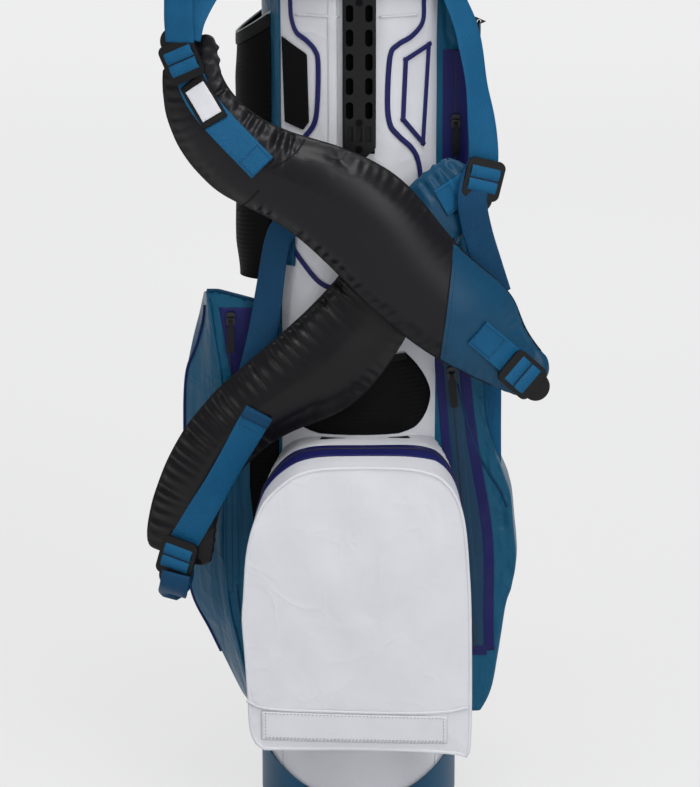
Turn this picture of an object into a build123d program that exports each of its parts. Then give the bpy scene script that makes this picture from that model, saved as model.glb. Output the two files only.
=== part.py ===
"""Golf stand bag with a crossed pair of shoulder pads, built as separate pieces in millimetres.

The frame has +Z up, the front (spine rail and ball pocket) towards -Y and the stand legs towards +Y.
The origin is on the floor, on the axis of the bag's tube. Angles go round the tube from the front,
positive to the right.
"""

import os
from math import cos, radians, sin, sqrt, tan

from build123d import *

# Clearances
FIT = 0.3                     # gap between neighbouring pieces that don't move on each other
RUN_FIT = 0.05                # radial running clearance of a pin in its hole
PRESS_FIT = 0.02              # radial clearance of a pin in the piece that holds it

# Tube, base and collar
BAG_HEIGHT = 905
TUBE_RADIUS = 98
TUBE_WALL = 3
PANEL_FRONT_ANGLE = 54        # half of the front panel's arc
PANEL_SIDE_ANGLE = 128        # where the side panels meet the back panel
BASE_WALL = 2.7
BASE_HEIGHT = 60
BASE_FLOOR = 5
BASE_EDGE = 4                 # rounding under the base
SCALLOP_LOW = 18              # lowest point of the scallop in the front of the base
SCALLOP_RADIUS = 139
COLLAR_WALL = 3.5
COLLAR_DEPTH = 75
LIP_THICKNESS = 6
LIP_OVERHANG = 12             # how far the lip stands out past the tube
CUFF_DEPTH = 54
CUFF_THICKNESS = 9.7
CUFF_END_ANGLE = 126
BAR_WIDTH = 14                # divider bars at the mouth
BAR_DEPTH = 38
BAR_ROUND = 6
SHEET_THICKNESS = 1.6
STAY_RADIUS = 3.5
STAY_ANGLE = 60

# Handle over the front of the collar
HANDLE_SPAN = 88
HANDLE_REACH = 34
HANDLE_RADIUS = 7
HANDLE_BEND = 17
HANDLE_DROP = 26              # from the rim down to the handle's centreline

# Spine rail
RAIL_WIDTH = 33
RAIL_DEPTH = 9.5
RAIL_LENGTH = 160
RAIL_NOSE = 9                 # bevel at the lower end
RAIL_ROUND = 2.5
RAIL_SLOT_WIDTH = 7.4
RAIL_SLOT_LENGTH = 17
RAIL_SLOT_SPACING = 19        # between the two columns
RAIL_SLOT_PITCH = 23.8
RAIL_SLOT_FIRST = 46          # first row above the lower end
RAIL_TOP_LAND = 8             # least bare length above the last row
RAIL_RECESS_WIDTH = 6
RAIL_RECESS_LENGTH = 15
RAIL_RECESS_DEPTH = 4
RAIL_RECESS_PITCH = 9
RAIL_RECESS_HEIGHT = 23
RAIL_SCREW_RADIUS = 2
RAIL_SCREW_HEAD = 3.4
RAIL_SCREW_LAND = 8           # end screws from the ends of the rail
RAIL_SCREW_FIRST = 34         # the screw between the recesses and the slots, above the lower end

# Flat pieces on the front panel
PATCH_THICKNESS = 1.2
PATCH_OUTLINE = ((-77, -107), (-52, -122), (-50, -189), (-56, -197), (-74, -191))    # (x, z from the rim)
SLIP_THICKNESS = 4.5
SLIP_HALF_WIDTH = 70
SLIP_LOW = 402
SLIP_HIGH = 484
SLIP_CORNER = 36

# Zipped pockets
BALL_LOW = 92
BALL_HIGH = 400
BALL_SHOULDER_DROP = 74       # from its top down to where its sides start to curve in
BALL_MIDDLE_RISE = 112        # from its foot up to where it is widest
BALL_BOTTOM_HALF = 102
BALL_MIDDLE_HALF = 112
BALL_SHOULDER_HALF = 101
BALL_TOP_HALF = 60
BALL_DEPTH_LOW = 84           # how far it stands out from the tube at its foot
BALL_DEPTH_HIGH = 76
BALL_TOP_SLOPE = 10
BALL_ROUND = 9
BALL_ROOT_ANGLE = 50.7        # where its sides leave the tube
BALL_SPREAD = 20              # angle at which they spread forwards from there
LEFT_FRONT = 56               # front and back faces of the side pockets, from the axis
LEFT_BACK = 58
LEFT_ROUND = 12
LEFT_BULGE = ((57, 541), (78, 400), (74, 240), (44, 145), (14, 96))      # (out from the tube, z)
LEFT_ROOT_HIGH = 506          # its sloping top meets the tube's middle at this height
RIGHT_FRONT = 60
RIGHT_BACK = 56
RIGHT_ROUND = 8
RIGHT_TOP_BULGE = 9
RIGHT_BULGE = ((15, 720), (23, 540), (36, 390), (66, 270), (50, 165), (18, 92))
SLEEVE_RADIUS = 46
SLEEVE_WALL = 2.5
SLEEVE_INSET = 18             # its own axis inside the tube's left side
SLEEVE_LOW = 549
SLEEVE_DROP = 91              # the low side of its mouth below the bag's top
SLEEVE_SLOPE = 34             # angle of its slanting mouth

# Zips
TAPE_THICKNESS = 1.2
TAPE_CORNER = 3
BALL_ZIP_REACH = 134          # the ball pocket's zip, in front of the axis
BALL_ZIP_HEIGHT = 216         # middle of each zip
UPPER_ZIP_DROP = 163          # the upper zip is measured from the rim
UPPER_ZIP_INSET = 2           # and from the tube's right side
RIGHT_ZIP_HEIGHT = 330
RIGHT_ZIP_OUT = 7             # out from the tube's side
RIGHT_ZIP_LEAN = 0.09
LEFT_ZIP_HEIGHT = 377
LEFT_ZIP_OUT = 31
UPPER_TAPE = (21, 110)        # width and length of each zip tape
RIGHT_TAPE = (22, 290)
LEFT_TAPE = (24, 300)
BALL_TAPE = (24, 190)
UPPER_SLIDER = -28            # each slider along its zip, from the middle
RIGHT_SLIDER = 128
LEFT_SLIDER = 136
BALL_SLIDER = -40
SLIDER_WIDTH = 9
SLIDER_LENGTH = 14
SLIDER_HEIGHT = 4
SLIDER_GAP = 0.3              # running gap between a slider and its tape
SLIDER_CORNER = 3
SLIDER_EAR = 1.5
SLIDER_EAR_LENGTH = 4
SLIDER_EAR_GAP = 0.2
SLIDER_PIN_RADIUS = 0.9
PULL_AXIS_RISE = 2.4          # from the slider's face up to the pull's axis
PULL_WIDTH = 7
PULL_LENGTH = 27
PULL_THICKNESS = 2.2
PULL_NECK = 4.2
PULL_NECK_LENGTH = 7
PULL_CORNER = 2.5

# Shoulder pads and their webbing
PAD_THICKNESS = 22
PAD_ROUND = 7
INNER_PAD_BEND = 600          # radius of the inner pad's own curve round the bag
WEB_WIDTH = 28
WEB_THICKNESS = 2
LOCK_WIDTH = 38
LOCK_LENGTH = 40
LOCK_THICKNESS = 4.5
LOCK_ROUND = 7
LOCK_WINDOW = 8
LOCK_BAR = 5
WEB_BEND = 8                  # centreline radius where webbing folds back
WEB_LEAD = 24                 # straight webbing ahead of a lock or a fold
ANCHOR_THICKNESS = 2.5
ANCHOR_HEIGHT = 26
ANCHOR_RISE = 13              # above the lower edge of the cuff
ANCHOR_ANGLE = 20
LEFT_ANCHOR_ANGLE = -72
RIGHT_ANCHOR_ANGLE = 52
PANEL_ANCHOR_TURN = -48       # where the one on the front panel is, round the tube
PANEL_ANCHOR_MIDDLE = 585     # its height on the bag
PANEL_ANCHOR_ANGLE = 12
PANEL_ANCHOR_HEIGHT = 30
OUTER_PAD_UPPER = ((-149, 814), (-132, 762), (-84, 722), (-16, 699), (46, 664), (98, 602), (154, 547),
                   (181, 492))
OUTER_PAD_LOWER = ((-193, 771), (-183, 708), (-140, 654), (-82, 622), (-16, 565), (48, 507), (118, 465),
                   (160, 448))
INNER_PAD_UPPER = ((-217, 286), (-199, 362), (-158, 432), (-82, 506), (-24, 565), (34, 640), (88, 684))
INNER_PAD_LOWER = ((-159, 264), (-146, 311), (-116, 366), (-64, 408), (-12, 432), (42, 494), (80, 562),
                   (106, 612))
OUTER_WEB = ((-166, 772), (-94, 680))
OUTER_STUB = ((120, 512), (148, 486))
INNER_WEB = ((-108, 440), (-179, 288))
INNER_STUB = ((80, 640), (112, 660))
OUTER_TOP_LOCK = (-171, 782)
OUTER_LOW_LOCK = (160, 471)
INNER_TOP_LOCK = (121, 664)
INNER_LOW_LOCK = (-182, 276)
OUTER_TOP_LEAN = 204          # how far each lock is turned, in degrees
OUTER_LOW_LEAN = 48
INNER_TOP_LEAN = -14
INNER_LOW_LEAN = -16
OUTER_TOP_RUN = (1.6, 0.5, 35)           # where each strap ends at its lock, from the lock's middle
OUTER_LOW_RUN = (5.4, 9.5, -41)
INNER_TOP_RUN = (5.6, 7.5, 26)
INNER_LOW_RUN = (-1.3, 37.1, -38)
INNER_LOW_HOOK = ((0, 46), (-14, 46))    # how the lowest strap turns up into its lock
INNER_LOW_STANDOFF = 10.6                # that strap hangs this far off the panel's anchor
INNER_TOP_BOW = (11, -3, 2)              # slack carries the middle of that strap this far aside
INNER_LOW_BOW = (13.5, -6, -4)           # and of this one, clear of the left zip's pull
OUTER_LOW_END = (50, 22, 368)            # on the right pocket: out from the tube's side, y and z

# Stand legs and their linkage
LEG_X = 53
LEG_STANDOFF = 15.2           # from the tube to the middle of a folded leg
LEG_SPLAY = 20                # angle of each hinge axis from the bag's own X axis
PIVOT_DROP = 67               # from the rim down to the hinge axes
LEG_RADIUS = 8
LEG_WALL = 1.2
LEG_CLEAR = 62                # height of the rubber feet above the floor when folded
FOOT_RADIUS = 12
FOOT_LENGTH = 40
FOOT_SOCKET = 26
FOOT_WALL = 2
PIN_RADIUS = 3
KNUCKLE_RADIUS = 9
KNUCKLE_WIDTH = 12
KNUCKLE_DROP = 30             # hinge axis to the top of the leg tube
KNUCKLE_PLUG = 24
KNUCKLE_FLANGE = 3
KNUCKLE_NECK = 5.4
KNUCKLE_GAP = 0.4
BRACKET_DEPTH = 28            # how far the bracket stands out from the tube at its ends
BRACKET_FLAT = 20             # and at its flat back
BRACKET_ANGLE = 44            # half of the bracket's arc round the back
BRACKET_BELOW = 23            # its height below and above the hinge axes
BRACKET_ABOVE = 24
BRACKET_CHEEK = 8
BRACKET_SCREW_RADIUS = 2
BRACKET_SCREW_HEAD = 4
BRACKET_SCREW_SPACING = 22
ROD_RADIUS = 2.5
ROD_BEND = 6
ROD_DROP = 110                # hinge axis down to the rod's upper hook
ROD_LEVER = 20                # the hook's distance behind the leg
ROD_INSET = 17                # the rod's distance inside the leg, along the hinge axis
ROD_HOOK = 16
COLLAR_RING = 4
COLLAR_RING_LENGTH = 16
LUG_RADIUS = 7
LUG_WIDTH = 10

# Foot lever in the base
LEVER_PIVOT_INSET = 44        # the lever's pin, from the back of the tube inwards
LEVER_PIVOT_Z = 14
LEVER_WIDTH = 108
LEVER_SIDE_GAP = 1.5
LEVER_OVERHANG = 42           # how far the lever stands out behind the tube
LEVER_TIP_LOW = 2.6
LEVER_THICKNESS = 7
LEVER_BARREL = 7
LEVER_EYE_THICKNESS = 5
LEVER_EYE_HEIGHT = 16.5       # height of the rods' lower hooks
LEVER_WINDOW = (12, 13)
LEVER_EYE_WALL = 3.5
TREAD_LENGTH = 30
TREAD_THICKNESS = 1.9
TREAD_CORNER = 4
HOUSING_WALL = 4
HOUSING_ROOF = 3
HOUSING_HEIGHT = 47
HOUSING_NOSE = 12             # in front of the lever's pin

# Towel ring
RING_RADIUS = 8
RING_WIRE = 1.5
RING_HOLE = 2.2
TAB_THICKNESS = 3
TAB_RISE = 13                 # half of the tab's height where it is sewn on
TAB_LIP = 7
RING_OUT = 23                 # out from the tube's side
RING_Y = 9.5
RING_DROP = 100               # below the rim

# Sizes that follow from those above
TUBE_INNER = TUBE_RADIUS - TUBE_WALL
BASE_RADIUS = TUBE_RADIUS + FIT + BASE_WALL
LIP_LOW = BAG_HEIGHT - LIP_THICKNESS
LIP_RADIUS = TUBE_RADIUS + LIP_OVERHANG
COLLAR_OUTER = TUBE_INNER - FIT
COLLAR_INNER = COLLAR_OUTER - COLLAR_WALL
COLLAR_LOW = LIP_LOW - COLLAR_DEPTH
SEAT_RADIUS = TUBE_RADIUS + FIT          # where a piece sits on the outside of the tube
CUFF_RADIUS = SEAT_RADIUS + CUFF_THICKNESS
CUFF_LOW = LIP_LOW - FIT - CUFF_DEPTH
BAR_LOW = LIP_LOW - BAR_DEPTH
RAIL_HIGH = CUFF_LOW - 2 * FIT
RAIL_LOW = RAIL_HIGH - RAIL_LENGTH
RAIL_FRONT = TUBE_RADIUS + RAIL_DEPTH
INNER_PAD_FRONT = SEAT_RADIUS + SLIP_THICKNESS + FIT       # the inner pad rests on the slip pocket
OUTER_PAD_FRONT = INNER_PAD_FRONT + PAD_THICKNESS + FIT
OUTER_PAD_BEND = INNER_PAD_BEND + PAD_THICKNESS + FIT
HOUSING_HALF = LEVER_WIDTH / 2 + LEVER_SIDE_GAP + HOUSING_WALL
ANCHOR_RADIUS = CUFF_RADIUS + FIT + ANCHOR_THICKNESS
ANCHOR_LOW = CUFF_LOW + ANCHOR_RISE
RAIL_SLOT_ROOM = RAIL_LENGTH - RAIL_TOP_LAND - RAIL_SLOT_FIRST - RAIL_SLOT_LENGTH / 2
RAIL_SLOT_ROWS = int(RAIL_SLOT_ROOM / RAIL_SLOT_PITCH) + 1
RAIL_SCREW_HEIGHTS = (RAIL_SCREW_LAND, RAIL_SCREW_FIRST, RAIL_LENGTH - RAIL_SCREW_LAND)
BALL_BACK = SEAT_RADIUS * cos(radians(BALL_ROOT_ANGLE))
BALL_ROOT_HALF = SEAT_RADIUS * sin(radians(BALL_ROOT_ANGLE))
SLEEVE_CENTRE = TUBE_RADIUS - SLEEVE_INSET
SLEEVE_HIGH = BAG_HEIGHT - SLEEVE_DROP
PULL_AXIS_HEIGHT = SLIDER_HEIGHT + PULL_AXIS_RISE
PIVOT_HEIGHT = BAG_HEIGHT - PIVOT_DROP
LEG_Y = sqrt((TUBE_RADIUS + LEG_STANDOFF) ** 2 - LEG_X ** 2)
BRACKET_RADIUS = TUBE_RADIUS + BRACKET_DEPTH
BRACKET_BACK = TUBE_RADIUS + BRACKET_FLAT
BRACKET_LOW = PIVOT_HEIGHT - BRACKET_BELOW
BRACKET_HIGH = PIVOT_HEIGHT + BRACKET_ABOVE
LEVER_PIVOT_Y = TUBE_RADIUS - LEVER_PIVOT_INSET
LEVER_REACH = TUBE_RADIUS + LEVER_OVERHANG
HOUSING_FRONT = LEVER_PIVOT_Y - HOUSING_NOSE
RING_X = TUBE_RADIUS + RING_OUT
RING_Z = BAG_HEIGHT - RING_DROP
LEG_FRAME = Plane((LEG_X, LEG_Y, PIVOT_HEIGHT), z_dir=(0, 0, 1),
                  x_dir=(cos(radians(LEG_SPLAY)), -sin(radians(LEG_SPLAY)), 0))

UP = (Align.CENTER, Align.CENTER, Align.MIN)
FAR = 2 * BAG_HEIGHT          # longer than any cut has to be


def upright(radius, low, high):
    """A cylinder on the tube's axis between two heights."""
    return Pos(0, 0, low) * Cylinder(radius, high - low, align=UP)


def ring(inner, outer, low, high):
    """A round wall on the tube's axis."""
    return upright(outer, low, high) - upright(inner, low - 1, high + 1)


def sector(inner, outer, start, end, low, high):
    """A round wall between two angles from the front."""
    outside = CenterArc((0, 0), outer, start - 90, end - start)
    inside = CenterArc((0, 0), inner, start - 90, end - start)
    sides = [Line(outside @ 0, inside @ 0), Line(outside @ 1, inside @ 1)]
    return extrude(Pos(0, 0, low) * make_face([outside, inside, *sides]), high - low)


def front_prism(outline, reach=FAR):
    """A face drawn as (x, z) and carried forward from the tube's axis."""
    return extrude(Plane.XZ * outline, reach)


def block(low, high):
    """A box between two corners."""
    size = [b - a for a, b in zip(low, high)]
    return Pos(*low) * Box(*size, align=(Align.MIN,) * 3)


def on_tube(angle, radius, z):
    """A point at an angle from the front."""
    return Vector(radius * sin(radians(angle)), -radius * cos(radians(angle)), z)


# Base

def base_cup():
    cup = fillet(upright(BASE_RADIUS, 0, BASE_HEIGHT).edges().group_by(Axis.Z)[0], BASE_EDGE)
    cup -= upright(SEAT_RADIUS, BASE_FLOOR, FAR)
    scallop = Plane.XZ * Circle(SCALLOP_RADIUS)
    cup -= Pos(0, 0, SCALLOP_LOW + SCALLOP_RADIUS) * extrude(scallop, FAR)
    housing = block((-HOUSING_HALF, HOUSING_FRONT, 0), (HOUSING_HALF, FAR, HOUSING_HEIGHT))
    cup += housing & upright(SEAT_RADIUS, 0, FAR)
    cavity_half = HOUSING_HALF - HOUSING_WALL
    cup -= block((-cavity_half, HOUSING_FRONT + HOUSING_WALL, -1),
                 (cavity_half, FAR, HOUSING_HEIGHT - HOUSING_ROOF))
    return cup - lever_axis_cylinder(PIN_RADIUS + PRESS_FIT, 2 * HOUSING_HALF + 2)


def lever_axis_cylinder(radius, length):
    return Pos(0, LEVER_PIVOT_Y, LEVER_PIVOT_Z) * Rot(0, 90, 0) * Cylinder(radius, length)


def lever_eye_place():
    """Middle of the right-hand rod's lower hook, where the lever's eye stands."""
    return LEG_FRAME.from_local_coords(Vector(-ROD_INSET - ROD_HOOK / 2, ROD_LEVER, 0))


def foot_lever():
    tip_high = LEVER_TIP_LOW + LEVER_THICKNESS
    arm = Polyline((LEVER_PIVOT_Y, LEVER_PIVOT_Z - LEVER_BARREL), (LEVER_REACH, LEVER_TIP_LOW),
                   (LEVER_REACH, tip_high), (LEVER_PIVOT_Y, LEVER_PIVOT_Z + LEVER_BARREL / 2), close=True)
    lever = extrude(Plane.YZ * make_face(arm), LEVER_WIDTH / 2, both=True)
    lever += lever_axis_cylinder(LEVER_BARREL, LEVER_WIDTH)
    place = lever_eye_place()
    window_y, window_z = LEVER_WINDOW
    wall = LEVER_EYE_WALL
    eye_outline = RectangleRounded(window_y + 2 * wall, window_z + 2 * wall, wall)
    eye = extrude(Plane.YZ * eye_outline, LEVER_EYE_THICKNESS / 2, both=True)
    window = extrude(Plane.YZ * Rectangle(window_y, window_z), LEVER_EYE_THICKNESS, both=True)
    for side in (-1, 1):
        lever += Pos(side * place.X, place.Y, LEVER_EYE_HEIGHT) * eye
    for side in (-1, 1):
        lever -= Pos(side * place.X, place.Y, LEVER_EYE_HEIGHT) * window
    return lever - lever_axis_cylinder(PIN_RADIUS + RUN_FIT, FAR)


def lever_tread():
    sole = block((-LEVER_WIDTH / 2, LEVER_REACH - TREAD_LENGTH, LEVER_TIP_LOW - TREAD_THICKNESS),
                 (LEVER_WIDTH / 2, LEVER_REACH, LEVER_TIP_LOW))
    return fillet(sole.edges().filter_by(Axis.Z), TREAD_CORNER)


# Tube, collar and what is inside

def tube_panel(start, end):
    return sector(TUBE_INNER, TUBE_RADIUS, start, end, BASE_FLOOR, LIP_LOW)


def back_panel():
    panel = tube_panel(PANEL_SIDE_ANGLE, 360 - PANEL_SIDE_ANGLE)
    half = HOUSING_HALF + FIT
    return panel - block((-half, 0, 0), (half, FAR, HOUSING_HEIGHT + FIT))


def stay_rods():
    place = COLLAR_OUTER - STAY_RADIUS
    return [Pos(on_tube(side * STAY_ANGLE, place, BASE_FLOOR)) *
            Cylinder(STAY_RADIUS, COLLAR_LOW - BASE_FLOOR, align=UP) for side in (-1, 1)]


def top_collar():
    lip = upright(LIP_RADIUS, LIP_LOW, BAG_HEIGHT)
    lip = fillet(lip.edges().group_by(Axis.Z)[-1], LIP_THICKNESS / 2)
    return lip + upright(COLLAR_OUTER, COLLAR_LOW, LIP_LOW) - upright(COLLAR_INNER, 0, FAR)


def padded_cuff():
    cuff = sector(SEAT_RADIUS, CUFF_RADIUS, -CUFF_END_ANGLE, CUFF_END_ANGLE, CUFF_LOW, CUFF_LOW + CUFF_DEPTH)
    rims = cuff.edges().filter_by(GeomType.CIRCLE).filter_by(lambda edge: edge.radius > SEAT_RADIUS + 1)
    return fillet(rims, CUFF_THICKNESS / 2)


def divider_cross():
    length = 2 * (COLLAR_INNER - FIT)
    outline = RectangleRounded(BAR_WIDTH, BAR_DEPTH, BAR_ROUND)
    bars = [extrude(plane * outline, length / 2, both=True) for plane in (Plane.YZ, Plane.XZ)]
    cross = Pos(0, 0, BAR_LOW + BAR_DEPTH / 2) * (bars[0] + bars[1])
    return cross & upright(COLLAR_INNER - FIT, 0, BAG_HEIGHT)


def divider_sheets():
    half = SHEET_THICKNESS / 2
    low = HOUSING_HEIGHT + FIT
    sheets = block((-TUBE_INNER, -half, low), (TUBE_INNER, half, BAR_LOW))
    sheets += block((-half, -TUBE_INNER, low), (half, TUBE_INNER, BAR_LOW))
    return sheets & upright(COLLAR_INNER - FIT, low, BAR_LOW)


def collar_handle():
    z = BAG_HEIGHT - HANDLE_DROP
    half = HANDLE_SPAN / 2
    front = -(CUFF_RADIUS + HANDLE_REACH)
    line = FilletPolyline((-half, -TUBE_RADIUS / 2, z), (-half, front, z), (half, front, z),
                          (half, -TUBE_RADIUS / 2, z), radius=HANDLE_BEND)
    section = Plane(line @ 0, z_dir=line % 0) * Circle(HANDLE_RADIUS)
    return sweep(section, path=line) - upright(CUFF_RADIUS + FIT, 0, BAG_HEIGHT)


# Front of the bag

def spine_rail():
    outline = Pos(0, (RAIL_LOW + RAIL_HIGH) / 2) * Rectangle(RAIL_WIDTH, RAIL_LENGTH)
    outline = chamfer(outline.vertices().group_by(Axis.Y)[0], RAIL_NOSE)
    rail = front_prism(outline, RAIL_FRONT)
    rail = fillet(rail.faces().sort_by(Axis.Y)[0].edges(), RAIL_ROUND)
    for row in range(RAIL_SLOT_ROWS):
        height = RAIL_LOW + RAIL_SLOT_FIRST + row * RAIL_SLOT_PITCH
        for side in (-1, 1):
            slot = Pos(side * RAIL_SLOT_SPACING / 2, height) * Rot(0, 0, 90) * \
                SlotOverall(RAIL_SLOT_LENGTH, RAIL_SLOT_WIDTH)
            rail -= front_prism(slot)
    recess_back = Pos(0, -(RAIL_FRONT - RAIL_RECESS_DEPTH), 0)
    for column in (-1, 0, 1):
        recess = Pos(column * RAIL_RECESS_PITCH, RAIL_LOW + RAIL_RECESS_HEIGHT) * \
            Rectangle(RAIL_RECESS_WIDTH, RAIL_RECESS_LENGTH)
        rail -= recess_back * front_prism(recess)
    for height in RAIL_SCREW_HEIGHTS:
        rail -= front_prism(Pos(0, RAIL_LOW + height) * Circle(RAIL_SCREW_RADIUS + PRESS_FIT))
    return rail - upright(SEAT_RADIUS, 0, BAG_HEIGHT)


def rail_screws():
    screws = []
    for height in RAIL_SCREW_HEIGHTS:
        centre = Pos(0, RAIL_LOW + height)
        shank = front_prism(centre * Circle(RAIL_SCREW_RADIUS), RAIL_FRONT - SEAT_RADIUS)
        head = front_prism(centre * Circle(RAIL_SCREW_HEAD), RAIL_SCREW_RADIUS / 2)
        screws.append(Pos(0, -SEAT_RADIUS, 0) * shank + Pos(0, -RAIL_FRONT, 0) * head)
    return screws


def glove_patch():
    outline = Pos(0, BAG_HEIGHT) * make_face(Polyline(*PATCH_OUTLINE, close=True))
    return front_prism(outline) & ring(SEAT_RADIUS, SEAT_RADIUS + PATCH_THICKNESS, 0, BAG_HEIGHT)


def slip_pocket():
    width = 2 * SLIP_HALF_WIDTH
    outline = Pos(0, (SLIP_LOW + SLIP_HIGH) / 2) * Rectangle(width, SLIP_HIGH - SLIP_LOW)
    outline = fillet(outline.vertices().group_by(Axis.Y)[0], SLIP_CORNER)
    return front_prism(outline) & ring(SEAT_RADIUS, SEAT_RADIUS + SLIP_THICKNESS, 0, BAG_HEIGHT)


# Zipped pockets and the bottle sleeve

def ball_pocket():
    side = Spline((BALL_BOTTOM_HALF, BALL_LOW), (BALL_MIDDLE_HALF, BALL_LOW + BALL_MIDDLE_RISE),
                  (BALL_SHOULDER_HALF, BALL_HIGH - BALL_SHOULDER_DROP), (BALL_TOP_HALF, BALL_HIGH),
                  tangents=[(0.15, 1), (-1, 0)])
    foot = Line((0, BALL_LOW), (BALL_BOTTOM_HALF, BALL_LOW))
    top = Line((BALL_TOP_HALF, BALL_HIGH), (0, BALL_HIGH))
    half = make_face([foot, side, top, Line((0, BALL_HIGH), (0, BALL_LOW))])
    outline = half + mirror(half, Plane.YZ)
    front_low = -(TUBE_RADIUS + BALL_DEPTH_LOW)
    front_high = -(TUBE_RADIUS + BALL_DEPTH_HIGH)
    profile = Polyline((-BALL_BACK, BALL_LOW), (front_low, BALL_LOW),
                       (front_high, BALL_HIGH - BALL_TOP_SLOPE), (-TUBE_RADIUS, BALL_HIGH),
                       (-BALL_BACK, BALL_HIGH), close=True)
    far_half = BALL_ROOT_HALF + (FAR - BALL_BACK) * tan(radians(BALL_SPREAD))
    plan = Polyline((-BALL_ROOT_HALF, -BALL_BACK), (-far_half, -FAR), (far_half, -FAR),
                    (BALL_ROOT_HALF, -BALL_BACK), close=True)
    pocket = front_prism(outline) & extrude(Plane.YZ * make_face(profile), FAR, both=True)
    pocket &= extrude(make_face(plan), BAG_HEIGHT)
    front = pocket.faces().sort_by(Axis.Y)[0]
    return fillet(front.edges(), BALL_ROUND) - upright(SEAT_RADIUS, 0, BAG_HEIGHT)


def ball_side(reach):
    """A point on the ball pocket's left side, at a distance in front of the axis."""
    return -BALL_ROOT_HALF - (reach - BALL_BACK) * tan(radians(BALL_SPREAD)), -reach


def side_pocket(outline, front, back, rounding):
    """A pocket on one side of the tube, drawn from the front and carried from its front face to its back."""
    pocket = Pos(0, back, 0) * front_prism(outline, front + back)
    faces = pocket.faces().sort_by(Axis.Y)
    rims = faces[0].edges() + faces[-1].edges()
    pocket = fillet(rims.filter_by(GeomType.BSPLINE), rounding)
    return pocket - upright(SEAT_RADIUS, 0, BAG_HEIGHT)


def left_pocket():
    root = -TUBE_RADIUS / 2
    side = Spline(*[(-TUBE_RADIUS - out, z) for out, z in LEFT_BULGE])
    rest = Polyline(side @ 1, (root, LEFT_BULGE[-1][1]), (root, LEFT_ROOT_HIGH), side @ 0)
    return side_pocket(make_face([side, *rest.edges()]), LEFT_FRONT, LEFT_BACK, LEFT_ROUND)


def right_pocket():
    root = TUBE_RADIUS / 2
    top = CUFF_LOW - FIT
    side = Spline(*[(TUBE_RADIUS + out, z) for out, z in ((RIGHT_TOP_BULGE, top), *RIGHT_BULGE)])
    rest = Polyline(side @ 1, (root, RIGHT_BULGE[-1][1]), (root, top), side @ 0)
    return side_pocket(make_face([side, *rest.edges()]), RIGHT_FRONT, RIGHT_BACK, RIGHT_ROUND)


def bottle_sleeve():
    centre = Pos(-SLEEVE_CENTRE, 0, SLEEVE_LOW)
    height = SLEEVE_HIGH - SLEEVE_LOW
    sleeve = centre * Cylinder(SLEEVE_RADIUS, height, align=UP)
    sleeve -= centre * Pos(0, 0, SLEEVE_WALL) * Cylinder(SLEEVE_RADIUS - SLEEVE_WALL, height, align=UP)
    mouth = Pos(-TUBE_RADIUS, 0, SLEEVE_HIGH) * Rot(0, -SLEEVE_SLOPE, 0) * Box(FAR, FAR, FAR, align=UP)
    return sleeve - mouth - upright(SEAT_RADIUS, 0, BAG_HEIGHT)


# Zips

SPREAD_SIDE = (-cos(radians(BALL_SPREAD)), sin(radians(BALL_SPREAD)), 0)
ZIP_PLANES = {
    "upper": Plane((TUBE_RADIUS - UPPER_ZIP_INSET, -RIGHT_FRONT, BAG_HEIGHT - UPPER_ZIP_DROP),
                   x_dir=(1, 0, 0), z_dir=(0, -1, 0)),
    "right": Plane((TUBE_RADIUS + RIGHT_ZIP_OUT, -RIGHT_FRONT, RIGHT_ZIP_HEIGHT),
                   x_dir=(1, 0, RIGHT_ZIP_LEAN), z_dir=(0, -1, 0)),
    "left": Plane((-TUBE_RADIUS - LEFT_ZIP_OUT, -LEFT_FRONT, LEFT_ZIP_HEIGHT),
                  x_dir=(1, 0, 0), z_dir=(0, -1, 0)),
    "ball": Plane((*ball_side(BALL_ZIP_REACH), BALL_ZIP_HEIGHT),
                  x_dir=(-SPREAD_SIDE[1], SPREAD_SIDE[0], 0), z_dir=SPREAD_SIDE),
}
TAPE_SIZES = {"upper": UPPER_TAPE, "right": RIGHT_TAPE, "left": LEFT_TAPE, "ball": BALL_TAPE}
SLIDER_PLACES = {"upper": UPPER_SLIDER, "right": RIGHT_SLIDER, "left": LEFT_SLIDER, "ball": BALL_SLIDER}


def zip_tapes():
    return [plane * extrude(RectangleRounded(*TAPE_SIZES[name], TAPE_CORNER), TAPE_THICKNESS)
            for name, plane in ZIP_PLANES.items()]


def slider_plane(name):
    """The slider's own plane: x across the zip, y up along it, z out of the pocket."""
    plane = ZIP_PLANES[name]
    centre = plane.origin + plane.y_dir * SLIDER_PLACES[name] + plane.z_dir * (TAPE_THICKNESS + SLIDER_GAP)
    return Plane(centre, x_dir=plane.x_dir, z_dir=plane.z_dir)


def zip_slider(name):
    body = Pos(0, 0, SLIDER_HEIGHT / 2) * Box(SLIDER_WIDTH, SLIDER_LENGTH, SLIDER_HEIGHT)
    body = fillet(body.edges().filter_by(Axis.Z), SLIDER_CORNER)
    ear_height = PULL_AXIS_HEIGHT + 2 * SLIDER_PIN_RADIUS - SLIDER_HEIGHT
    ear_x = PULL_NECK / 2 + SLIDER_EAR_GAP + SLIDER_EAR / 2
    ear = Box(SLIDER_EAR, SLIDER_EAR_LENGTH, ear_height, align=UP)
    for side in (-1, 1):
        body += Pos(side * ear_x, 0, SLIDER_HEIGHT) * ear
    body += Pos(0, 0, PULL_AXIS_HEIGHT) * Rot(0, 90, 0) * Cylinder(SLIDER_PIN_RADIUS, 2 * ear_x)
    return slider_plane(name) * body


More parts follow.
